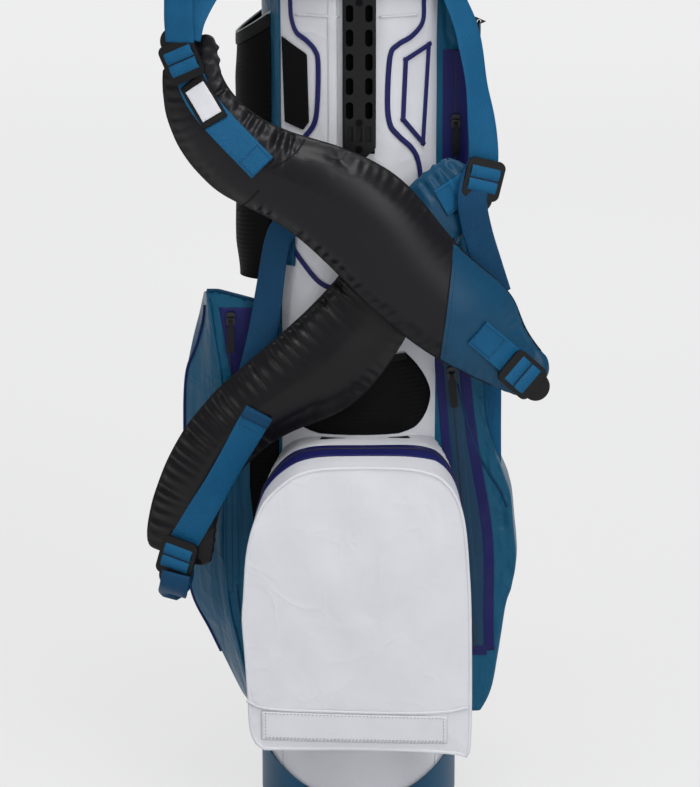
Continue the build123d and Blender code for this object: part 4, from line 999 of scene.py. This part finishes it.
def zip_strip(name, middle, front, length, lean, stripes):
    """Bands side by side along one upright zip line; each stripe is (offset, width, finish, lift, belly)."""
    pieces = []
    for k, (offset, width, finish, lift, belly) in enumerate(stripes):
        path = []
        for t in np.linspace(-length / 2, length / 2, 60):
            bulge = belly * math.exp(-((t + 35) / 80) ** 2)
            path.append((middle[0] + offset - lean * t + bulge, front - lift, middle[1] + t))
        pieces.append(ribbon(f"{name}_{k}", path, (0, -1, 0), width, 0.8, finish))
    return pieces


def side_zips():
    left, right = span("left_pocket")[0][1], span("right_pocket")[0][1]
    pieces = zip_strip("right_zip", (105, 322), right, 310, 0.09,
                       ((-11, 9, navy, 0.5, 0), (0, 16, zip_face, 0.45, 0), (7, 18, zip_face, 0.42, 6),
                        (14, 11, navy, 0.5, 9), (0, 1.4, zip_dark, 0.75, 0)))
    pieces += zip_strip("right_zip_end", (123, 167), right, 10, 0.0, ((0, 17, navy, 0.6, 0),))
    pieces += zip_strip("upper_zip", (96, 720), right, 130, 0.0,
                        ((0, 26, navy, 0.45, 0), (0, 1.4, zip_dark, 0.75, 0)))
    pieces += zip_strip("left_zip", (-129, 334), left, 212, 0.0,
                        ((0, 13, teal_fabric, 0.5, 0), (0, 0.9, deep_teal, 0.7, 0)))
    pieces += zip_strip("left_zip_top", (-129, 480), left, 84, 0.0, ((0, 1.2, zip_dark, 0.7, 0),))
    rows = []
    for z in np.linspace(524, 438, 24):
        start = np.interp(z, (438, 446, 524), (-122, -128, -141))
        end = np.interp(z, (438, 446, 524), (-121, -116, -103))
        rows.append([(x, left - 0.35, z) for x in np.linspace(start, end, 8)])
    pieces.append(thicken(add_rows("left_zip_patch", rows, navy), 0.6, (-120.0, 0.0, 480.0)))
    dress(joined("side_zips", pieces), "navy_tape", "zip_tapes")


def left_gap_shade():
    """A black sheet between the left pocket's zip and the ball pocket, painted shade of the deep gap between
    them.
    """
    front = span("left_pocket")[0][1]
    rows = []
    for z in np.linspace(286, 470, 40):
        start = np.interp(z, (286, 300, 340, 470), (-93, -107, -111, -109))
        rows.append([(x, front - 0.4, z) for x in np.linspace(start, -80, 8)])
    gap_shade_sheet = thicken(add_rows("left_gap_shade_sheet", rows, black_mesh), 0.6, (-95.0, 0.0, 400.0))
    dress(gap_shade_sheet, "black_mesh")


# Bottle sleeve

def bottle_sleeve():
    """A stretch sleeve on the left, with a slanted hem."""
    axis, radius = -80.0, 45.0
    low = span("bottle_sleeve")[0][2]
    hem_x, hem_z, hem_slope = -98, 814.0, math.tan(math.radians(34))
    turns = np.radians(np.linspace(-80, 80, 61))

    def point(turn, share, lift=0.0):
        x = axis - (radius + lift) * math.cos(turn)
        y = (radius + lift) * math.sin(turn)
        top = hem_z + (x - hem_x) * hem_slope
        z = low + (top - low) * share
        draw = 1 - 0.10 * (1 - smooth_step(share, 0.0, 0.16)) - 0.05 * smooth_step(share, 0.8, 1.0)
        sag = 1.2 * ripple((turn * 30, z * 0.5, 11), 20)
        return np.array((axis + (x - axis) * draw - sag * math.cos(turn), y * draw, z))

    rows = [[point(turn, share) for turn in turns] for share in np.linspace(0, 1, 120)]
    middle = np.array((axis, 0, low))
    floor_rows = [[middle + (place - middle) * share for place in rows[0]] for share in (0.05, 0.5)]
    sleeve = thicken(add_rows("sleeve_knit", floor_rows + rows, black_mesh), 1.2, (axis, 0.0, 680.0))
    hem = ribbon("sleeve_hem", [point(turn, 0.975, 0.8) for turn in turns],
                 [(-math.cos(turn), math.sin(turn), 0) for turn in turns], 12, 1.4, black_webbing, 0.2)
    brim = [point(turn, 1.0, 0.4) for turn in turns]
    cord = pipe("sleeve_piping", brim, 1.3, pale_piping, facing=(-1, 0, 0.4))
    dress(joined("bottle_sleeve_knit", [sleeve, hem, cord]), "black_mesh", "bottle_sleeve")


# Padded pieces

def coordinates(mesh):
    flat = np.empty(3 * len(mesh.vertices), np.float32)
    mesh.vertices.foreach_get("co", flat)
    return flat.reshape(-1, 3).astype(float) / MM


def move_to(mesh, points):
    mesh.vertices.foreach_set("co", (np.asarray(points) * MM).astype(np.float32).ravel())
    mesh.update()


def inflate(piece, cap):
    """Blows a closed skin up like stuffed cloth and keeps each point within a distance of where it was."""
    start = coordinates(piece.data)
    cloth = piece.modifiers.new("stuffing", "CLOTH")
    cloth.settings.quality = 5
    cloth.settings.mass = 0.3
    cloth.settings.tension_stiffness = cloth.settings.compression_stiffness = 12
    cloth.settings.bending_stiffness = 0.4
    cloth.settings.use_pressure = True
    cloth.settings.uniform_pressure_force = STUFFING_PRESSURE
    cloth.settings.effector_weights.gravity = 0
    scene = bpy.context.scene
    for moment in range(1, STUFFING_FRAMES + 1):
        scene.frame_set(moment)
    settle(piece)
    scene.frame_set(1)
    step = coordinates(piece.data) - start
    length = np.linalg.norm(step, axis=1, keepdims=True)
    move_to(piece.data, start + step * np.minimum(1, cap / np.maximum(length, 1e-6)))


def to_line(points, line):
    """Distances from (x, z) points to a polyline, and how far along it the nearest place is."""
    best = np.full(len(points), 1e9)
    along = np.zeros(len(points))
    run = 0.0
    for a, b in zip(line[:-1], line[1:]):
        length = np.linalg.norm(b - a)
        share = np.clip(((points - a) @ (b - a)) / length ** 2, 0, 1)
        gap = np.linalg.norm(points - a - share[:, None] * (b - a), axis=1)
        nearer = gap < best
        best[nearer], along[nearer] = gap[nearer], run + share[nearer] * length
        run += length
    return best, along


def thin_pad(middle):
    """Presses points towards a pad's curved middle surface."""
    def press(points):
        flat = points[:, :2] - (0, PAD_AXIS_Y)
        reach = np.linalg.norm(flat, axis=1, keepdims=True)
        points[:, :2] = (0, PAD_AXIS_Y) + flat / reach * (middle + (reach - middle) * PAD_PRESS)
        return points
    return press


def thin_cuff(points):
    """Presses points towards the middle of the cuff's wall."""
    reach = np.linalg.norm(points[:, :2], axis=1, keepdims=True)
    points[:, :2] *= (CUFF_MIDDLE + (reach - CUFF_MIDDLE) * CUFF_PRESS) / reach
    return points


def dome_pad(middle, edges, held):
    """Gives a pad a crown that falls to its edges and lies low near the places that are held down."""
    outline = np.vstack([through(edges[0], 90), through(edges[1], 90)[::-1], edges[0][:1]])

    def shape(points):
        flat = points[:, :2] - (0, PAD_AXIS_Y)
        reach = np.linalg.norm(flat, axis=1)
        gap, _ = to_line(points[:, (0, 2)], outline)
        rise = 1 - (1 - np.clip(gap / PAD_CROWN_WIDTH, 0, 1)) ** 2
        for x, z, near in held:
            away = np.hypot(points[:, 0] - x, points[:, 2] - z)
            rise = rise * (0.55 + 0.45 * smooth_step(away, near, near + 60))
        offset = reach - middle
        front, back = np.percentile(offset, 95), -np.percentile(offset, 5)
        offset *= np.where(offset > 0, (PAD_EDGE_FRONT + PAD_CROWN_FRONT * rise) / front,
                           (PAD_EDGE_BACK + PAD_CROWN_BACK * rise) / back)
        points[:, :2] = (0, PAD_AXIS_Y) + flat / reach[:, None] * (middle + offset)[:, None]
        return points
    return shape


def cad_skin(node, voxel):
    """A closed skin of even faces over a copy of a CAD solid."""
    piece = bpy.data.objects.new(node + "_cushion", nodes[node].data.copy())
    bpy.context.scene.collection.objects.link(piece)
    work = bmesh.new()
    work.from_mesh(piece.data)
    bmesh.ops.remove_doubles(work, verts=work.verts, dist=0.02 * MM)
    work.to_mesh(piece.data)
    work.free()
    remesh = piece.modifiers.new("skin", "REMESH")
    remesh.mode, remesh.voxel_size = "VOXEL", voxel * MM
    soften = piece.modifiers.new("soften", "SMOOTH")
    soften.factor, soften.iterations = 0.5, 2
    return settle(piece)


def gather(mesh, points, gathers):
    """Puckers points along edges, each (edge, width, depth). What comes back is, for each point, the place
    along the nearest edge and the gap to it, in metres."""
    flat = np.tile((0.0, 1.0), (len(points), 1))
    normals = np.empty(3 * len(points), np.float32)
    mesh.vertices.foreach_get("normal", normals)
    normals = normals.reshape(-1, 3)
    start = 0.0
    for edge, width, depth in gathers:
        gap, along = to_line(points[:, (0, 2)], through(edge, 90))
        near = np.exp(-(gap / width) ** 2) * smooth_step(gap, 0, 7)
        drift = np.array([ripple((a * 0.5, g * 0.1, 4), 16) for a, g in zip(along + start, gap)])
        reach = np.array([0.5 + ripple((a, 0, 8), 11) for a in along + start])
        pleat = np.cos((along + 4 * drift) * 2 * math.pi / PLEAT_SPACING) - 0.3
        points += normals * (near * depth * pleat * np.clip(reach, 0.15, 1))[:, None]
        closer = gap < flat[:, 1] / MM
        flat[closer] = np.stack([(along[closer] + start) * MM, gap[closer] * MM], 1)
        start += EDGE_STEP
    return flat


def cushion(node, finish, press, cap, voxel, swelling, gathers=(), shape=None, tucks=(), fill=0.6):
    """A stuffed piece from the CAD solid: pressed thin, blown up, then puckered along its gathered edges and
    drawn in at its tucks, each ((x, z), (move x, move z), reach)."""
    piece = cad_skin(node, voxel)
    move_to(piece.data, press(coordinates(piece.data)))
    inflate(piece, cap)
    swell = piece.modifiers.new("swell", "DISPLACE")
    swell.mid_level, swell.strength = 0, swelling * MM
    finer = piece.modifiers.new("finer", "SUBSURF")
    finer.levels = finer.render_levels = 1
    mesh = settle(piece).data
    points = coordinates(mesh)
    if shape:
        points = shape(points)
        move_to(mesh, points)
    flat = gather(mesh, points, gathers)
    for place, move, reach in tucks:
        near = np.exp(-(np.linalg.norm(points[:, (0, 2)] - place, axis=1) / reach) ** 2)
        points[:, (0, 2)] += near[:, None] * move
    move_to(mesh, points)
    corners = np.empty(len(mesh.loops), np.int32)
    mesh.loops.foreach_get("vertex_index", corners)
    while mesh.uv_layers:
        mesh.uv_layers.remove(mesh.uv_layers[0])
    mesh.uv_layers.new(name="UVMap").uv.foreach_set("vector", flat[corners].astype(np.float32).ravel())
    mesh.materials.clear()
    mesh.materials.append(finish)
    mesh.polygons.foreach_set("material_index", [0] * len(mesh.polygons))
    mesh.polygons.foreach_set("use_smooth", [True] * len(mesh.polygons))
    dress(piece, "black_padding", node)
    return piece


def skin_tree(piece):
    """The piece's surface, for finding places on it."""
    return BVHTree.FromPolygons([Vector(point) for point in coordinates(piece.data)],
                                [list(polygon.vertices) for polygon in piece.data.polygons])


def laid(tree, outline, count, lift):
    """Points along (x, z) places, seen from the front, on a surface, and the ways it faces there."""
    well_before = -600
    places, ways = [], []
    for x, z in evenly(through(outline, 200), count):
        hit, normal, _, _ = tree.ray_cast(Vector((x, well_before, z)), Vector((0, 1, 0)))
        if hit is None:
            hit, normal = Vector(places[-1]) if places else Vector((x, -120, z)), Vector((0, -1, 0))
            hit = Vector((x, hit.y, z))
        places.append(np.array(hit))
        ways.append(np.array(normal if normal.y < 0 else -normal))
    places, ways = np.array(places), np.array(ways)
    for _ in range(12):
        places[1:-1, 1] = (places[:-2, 1] + 2 * places[1:-1, 1] + places[2:, 1]) / 4
        ways[1:-1] = (ways[:-2] + 2 * ways[1:-1] + ways[2:]) / 4
    ways = unit(ways)
    return places + ways * lift, ways


OUTER_UPPER = ((-149, 814), (-132, 762), (-84, 722), (-16, 699),
               (46, 664), (98, 602), (154, 547), (181, 492))
OUTER_LOWER = ((-193, 771), (-183, 708), (-140, 654), (-82, 622),
               (-16, 565), (48, 507), (118, 465), (160, 448))
INNER_UPPER = ((-217, 286), (-199, 362), (-158, 432), (-82, 506), (-24, 565), (34, 640), (88, 684))
INNER_LOWER = ((-159, 264), (-146, 311), (-116, 366), (-64, 408),
               (-12, 432), (42, 494), (80, 562), (106, 612))
PAD_EDGES = {"outer": (OUTER_UPPER, OUTER_LOWER), "inner": (INNER_UPPER, INNER_LOWER)}
PAD_MIDDLES = {"outer": OUTER_MIDDLE, "inner": INNER_MIDDLE}
LOCKS = {"outer_top_lock": (OUTER_PAD_REACH, -171, 782, 204),      # each as (radius, x, z, lean)
         "outer_low_lock": (OUTER_PAD_REACH, 160, 471, 48),
         "inner_top_lock": (INNER_PAD_REACH, 121, 664, -14),
         "inner_low_lock": (INNER_PAD_REACH, -182, 276, -16)}


def held_at(*locks):
    """Places where locks hold a pad down, each as (x, z, reach)."""
    return [(*LOCKS[lock][1:3], LOCK_HOLD) for lock in locks]


def pads():
    """Both pads; the inner one is also held down where the outer one crosses it."""
    outer_held = held_at("outer_top_lock", "outer_low_lock")
    outer = cushion("outer_pad", outer_cloth, thin_pad(OUTER_MIDDLE), **PAD_STUFFING,
                    gathers=(((*OUTER_UPPER[:3], (-58, 712)), 24, 3.2), (OUTER_UPPER[3:], 13, 1.2),
                             (OUTER_LOWER, 15, 1.4)),
                    shape=dome_pad(OUTER_MIDDLE, PAD_EDGES["outer"], outer_held),
                    tucks=(((176, 522), np.array((-9.0, -6.0)), 30),))
    under_outer = (14, 600, 70)
    inner_held = (*held_at("inner_low_lock", "inner_top_lock"), under_outer)
    inner = cushion("inner_pad", inner_shaded_cloth, thin_pad(INNER_MIDDLE), **PAD_STUFFING,
                    gathers=((INNER_UPPER, 23, 3.0), (INNER_LOWER, 14, 1.4)),
                    shape=dome_pad(INNER_MIDDLE, PAD_EDGES["inner"], inner_held))
    return {"outer": skin_tree(outer), "inner": skin_tree(inner)}


def pad_bindings(skins):
    """Bound edges of both pads."""
    bindings = []
    for name, edges in PAD_EDGES.items():
        for k, edge in enumerate(edges):
            path = []
            for x, z in evenly(through(edge, 200), 90):
                inside = Vector((x, PAD_AXIS_Y - math.sqrt(PAD_MIDDLES[name] ** 2 - x * x), z))
                near, normal, _, _ = skins[name].find_nearest(inside)
                path.append(np.array(near - normal * 1.1))
            bindings.append(pipe(f"{name}_binding_{k}", rounded(path, 90, 2), 1.5, black_webbing))
    dress(joined("pad_bindings", bindings), "black_padding")


# Webbing

def box_stitch(path, ways, width, inset=3.0):
    """Lines of a rectangle stitched round a run of webbing."""
    along = unit(np.gradient(path, axis=0))
    side = np.cross(along, ways) * (width / 2 - inset)
    up = ways * 1.35
    left, right = path + side + up, path - side + up
    return [list(left), list(right), [left[0], right[0]], [left[-1], right[-1]]]


def pad_webbing(skins):
    """Webbing sewn to the pads, each run as (outline, stitched stretch, whether its end folds)."""
    runs = {"outer": ((((-168, 776), (-150, 738), (-94, 680)), slice(50, 60), False),
                      (((116, 516), (150, 484)), slice(0, 34), False)),
            "inner": ((((-99, 432), (-126, 383), (-153, 334), (-180, 285)), slice(0, 8), True),
                      (((80, 640), (114, 661)), slice(0, 24), False))}
    lines = []
    for pad, parts in runs.items():
        node = pad + "_pad_webbing"
        pieces = []
        for k, (outline, sewn, folded) in enumerate(parts):
            path, ways = laid(skins[pad], outline, 60, 1.2)
            pieces.append(ribbon(f"{node}_{k}", path, ways, WEB_WIDTH, WEB_THICKNESS, webbing))
            if folded:
                # the folded end is painted darker as shade
                fold = path[:5] + ways[:5] * WEB_THICKNESS * 0.8
                pieces.append(ribbon(node + "_fold", fold, ways[:5], WEB_WIDTH + 0.4, WEB_THICKNESS,
                                     shaded_webbing))
            lines += box_stitch(path[sewn], ways[sewn], WEB_WIDTH)
        dress(joined(node + "_runs", pieces), "webbing", node)
    dress(beads("webbing_stitches", lines, teal_thread, **FINE_STITCH), "webbing")


def pad_seams(skin):
    """Seams across the outer pad, and stitches beside the one where its cloth changes."""
    seams = []
    for k, outline in enumerate((((-85, 680), (-72, 687), (-60, 696), (-53, 706)),
                                 ((-98, 657), (-110, 643), (-120, 634)), OUTER_SEAM)):
        path, _ = laid(skin, outline, 40, 0.1)
        seams.append(pipe(f"pad_seam_{k}", path, 0.8, black_webbing))
    dress(joined("pad_seams", seams), "black_padding")
    beside, _ = laid(skin, [(x + 4.5, z) for x, z in OUTER_SEAM], 60, 0.4)
    dress(beads("pad_seam_stitches", [beside], teal_thread, 3.4, 2.4, 0.9, 0.7), "webbing")


def bare_label(skin):
    """A blank white label on a black backing, over the outer pad's upper webbing."""
    path, ways = laid(skin, ((-163, 762), (-139, 722)), 30, 3.0)
    backing = ribbon("label_backing", path, ways, 27, 1.2, black_webbing)
    label = ribbon("label_face", path[4:26] + ways[4:26] * 1.0, ways[4:26], 21, 0.9, white_fabric)
    dress(joined("bare_label", [backing, label]), "white_fabric")


def lock_frame(reach, x, z, lean):
    """A ladder lock's centre, the direction along its webbing and the one out of its face."""
    normal = np.array((x, -math.sqrt(reach ** 2 - x ** 2), 0)) / reach
    sideways = np.array((-normal[1], normal[0], 0))
    across = sideways * math.cos(math.radians(lean)) + np.array((0, 0, 1)) * math.sin(math.radians(lean))
    centre = np.array((0, PAD_AXIS_Y, z)) + normal * (reach + 2.6)
    return centre, np.cross(normal, across), normal


def lock_wraps():
    """Webbing that shows in the two windows of each lock."""
    pieces = []
    rise = ((-4.6, -1.0), (-5.8, 2.6), (-4.2, 4.9), (0, 5.9), (4.2, 4.9), (5.8, 2.6), (4.6, -1.0))
    over_bar = through(rise, 32)
    for node, numbers in LOCKS.items():
        centre, along, out = lock_frame(*numbers)
        for window in (-6.5, 6.5):
            path = [centre + along * (window + y) + out * z for y, z in over_bar]
            ways = [unit(out + along * y) for y in np.linspace(-2, 2, 32)]
            pieces.append(ribbon(f"{node}_{window}", path, ways, WEB_WIDTH, 1.5, webbing))
    dress(joined("lock_webbing", pieces), "webbing")


def strap_band(name, points, ways, count=70, finish=webbing):
    """One run of a strap through points; its face turns through the ways given."""
    path = evenly(through(points, 300), count)
    return ribbon(name, path, through(ways, count), WEB_WIDTH, WEB_THICKNESS, finish)


def straps():
    tab_middle = (CUFF_TAB_LOW + CUFF_TAB_HIGH) / 2
    left_tab, right_tab = (on_tube(angle, CUFF_TAB_REACH + WEB_THICKNESS / 2, tab_middle)
                           for angle in (LEFT_TAB, RIGHT_TAB))
    bands = {
        "outer_top_strap": [
            strap_band("outer_top_main", ((-168, -131, 804), (-162, -127, 826), (-146, -104, 850),
                                          left_tab + (-8, -14, 0), left_tab + (2, 6, 2)),
                       ((-0.2, -1, 0), (-0.3, -1, 0), (-0.6, -0.8, 0.1), (-1, -0.5, 0.1), (-1, -0.3, 0))),
            strap_band("outer_top_tail", ((-174, -130, 800), (-175, -133, 830), (-172, -128, 862),
                                          (-152, -92, 884), left_tab + (-12, -16, 6)),
                       ((-0.3, -1, 0), (-0.3, -1, 0), (-0.5, -0.9, 0.1), (-0.8, -0.6, 0.3),
                        (-1, -0.4, 0.2)))],
        "inner_top_strap": [
            strap_band("inner_top_main", (right_tab + (0, 0, 4), right_tab + (2, -5, -24), (106, -92, 806),
                                          (117, -108, 742), (122, -112, 694), (121, -110, 668)),
                       ((0.8, -0.6, 0), (0.7, -0.8, 0), (0.6, -0.8, 0), (0.7, -0.75, 0), (0.3, -1, 0),
                        (0, -1, 0))),
            # this tail behind the pads is painted darker as shade
            strap_band("inner_top_tail", ((120, -114, 676), (113, -120, 660), (111, -122, 640),
                                          (117, -116, 610), (128, -108, 575), (138, -100, 545)),
                       ((0.1, -1, 0.4), (0.1, -1, 0.1), (0.1, -1, 0), (0.2, -1, 0), (0.3, -1, 0),
                        (0.4, -1, 0)), finish=shaded_webbing)],
        "outer_low_strap": [
            strap_band("outer_low_main", ((162, -119, 466), (150, -96, 484), (138, -64, 484), (131, -48, 462),
                                          (130, -45, 412), (131, -42, 338)),
                       ((0.3, -1, 0.4), (0.3, -0.7, 0.7), (0.2, -0.7, 0.7), (0.1, -1, 0.1), (0.1, -1, 0),
                        (0.1, -1, 0)))],
        "inner_low_strap": [
            # this strap is painted darker as shade
            strap_band("inner_low_main", (on_tube(-44, 102, 612), on_tube(LOW_TAB, 110.8, 590),
                                          (-97, -76, 500), (-118, -76, 420), (-150, -72, 330),
                                          (-180, -66, 254), (-186, -72, 238), (-189, -92, 236),
                                          (-187, -108, 246), (-184, -111, 262)),
                       ((-0.6, -1, 0), (-0.5, -1, 0.1), (-0.2, -1, 0), (-0.1, -1, 0), (0, -1, 0),
                        (0, -1, -0.2), (0, -0.6, -1), (0, 0.2, -1), (-0.1, -1, -0.3), (-0.2, -1, 0)),
                       120, shaded_webbing)]}
    for node, pieces in bands.items():
        dress(joined(node + "_webbing", pieces), "webbing", node)


def strap_anchors():
    """Sewn tabs on the cuff and the front panel."""
    tabs, lines = [], []
    on_cuff = (CUFF_TAB_REACH, CUFF_TAB_LOW, CUFF_TAB_HIGH, 10, black_webbing)
    on_panel = (100.0, 570, 600, 8, webbing)
    for middle, (reach, low, high, half, finish) in ((LEFT_TAB, on_cuff), (RIGHT_TAB, on_cuff),
                                                     (LOW_TAB, on_panel)):
        angles = np.linspace(middle - half, middle + half, 24)
        path = np.array([on_tube(angle, reach, (low + high) / 2) for angle in angles])
        tabs.append(ribbon(f"tab_{middle}", path, radial(path), high - low, WEB_THICKNESS, finish))
        lines += box_stitch(path, radial(path), high - low)
    dress(joined("strap_tabs", tabs), "webbing", "strap_anchors")
    dress(beads("tab_stitches", lines, teal_thread, **FINE_STITCH), "webbing")


# Mouth

def cuff():
    cushion("padded_cuff", cuff_cloth, thin_cuff, cap=3.0, voxel=4.0, swelling=1.2)


def dividers():
    """Cloth that hangs from the divider's bars and lies in soft folds."""
    low, high = span("divider_sheets")
    half, length = high[0] - 1.5, high[2] - low[2] - 2
    for name, lengthwise in (("divider_cloth_across", True), ("divider_cloth_along", False)):
        rows = []
        for z in np.linspace(low[2] + 2, high[2], 70):
            row = []
            for share in np.linspace(-1, 1, 60):
                hang = smooth_step(high[2] - z, 20, 240)
                wave = 2.5 * hang * math.sin(share * 9 + lengthwise + z * 0.004) * (1 - share ** 4)
                row.append((share * half, wave, z) if lengthwise else (wave, share * half, z))
            rows.append(row)
        piece = thicken(add_rows(name, rows, divider_cloth), 1.0, (0.0, 500.0, 500.0))
        dress(piece, "divider_cloth", "divider_sheets")
        2 * half * MM
        length * MM


sewn_rim = ball_rim(200)
ball_pocket(sewn_rim)
foot_band()
ball_zip(sewn_rim)
ball_slit_shades()
side_pockets()
side_zips()
left_gap_shade()
bottle_sleeve()
pad_skins = pads()
pad_bindings(pad_skins)
pad_webbing(pad_skins)
pad_seams(pad_skins["outer"])
bare_label(pad_skins["outer"])
lock_wraps()
straps()
strap_anchors()
cuff()
dividers()


# Studio

def soft_lamp(name, place, aim, size, power):
    lamp = bpy.data.lights.new(name, "AREA")
    lamp.shape = "RECTANGLE"
    lamp.size, lamp.size_y = size
    lamp.energy = power
    holder = bpy.data.objects.new(name, lamp)
    holder.location = place
    holder.rotation_euler = (Vector(aim) - Vector(place)).to_track_quat("-Z", "Y").to_euler()
    bpy.context.scene.collection.objects.link(holder)


def pale_floor():
    """A wide pale floor that reads as the backdrop too and keeps the bag's shadow."""
    finish = Finish("floor", Roughness=0.9, Base_Color=(0.83, 0.83, 0.835, 1.0))
    rays = Shade(finish.tree)
    seen = rays.make("LightPath", output="Is Camera Ray") + rays.make("LightPath", output="Is Glossy Ray")
    seen = seen + rays.make("LightPath", output="Is Transmission Ray")
    far = finish.place.axes()[1].step(3.0, 9.0)
    glow = rays.make("Emission", {}, {"Color": far.tint((0.86, 0.86, 0.86, 1.0), (1.0, 1.0, 1.0, 1.0))})
    lit = Shade(finish.tree, finish.shader.outputs[0])
    mixed = rays.make("MixShader", {}, {0: seen * 0.8, 1: lit, 2: glow})
    finish.tree.links.new(mixed.socket, finish.tree.nodes["Material Output"].inputs["Surface"])
    floor = add_mesh("floor", [(-3e4, -3e4, 0), (3e4, -3e4, 0), (3e4, 3e4, 0), (-3e4, 3e4, 0)],
                     [(0, 1, 2, 3)], finish.material)


def studio():
    scene = bpy.context.scene
    scene.view_settings.view_transform = "Standard"
    world = bpy.data.worlds.new("studio")
    world.use_nodes = True
    background = world.node_tree.nodes["Background"]
    background.inputs["Color"].default_value = (0.95, 0.97, 1.0, 1.0)
    background.inputs["Strength"].default_value = 0.3
    scene.world = world
    soft_lamp("key", (-2.2, -2.8, 2.6), (0, 0, 0.45), (0.9, 1.6), 16)
    soft_lamp("fill", (1.4, -2.9, 1.95), (0, 0, 0.5), (1.3, 2.4), 39)
    soft_lamp("top", (0.2, -1.2, 3.2), (0, -0.1, 0.4), (1.5, 1.0), 35)
    soft_lamp("back", (0.6, 3.2, 2.4), (0, 0, 0.45), (1.8, 1.4), 18)


def camera():
    """The photograph's viewpoint: 3.5 m in front and a little above."""
    view = bpy.data.cameras.new("camera")
    view.lens = 164.0
    view.sensor_width = 36.0
    holder = bpy.data.objects.new("camera", view)
    holder.location = (-0.009, -3.6, 1.205)
    aim = Vector((-0.009, -0.1, 0.445)) - holder.location
    holder.rotation_euler = aim.to_track_quat("-Z", "Y").to_euler()
    bpy.context.scene.collection.objects.link(holder)
    bpy.context.scene.camera = holder


pale_floor()
studio()
camera()
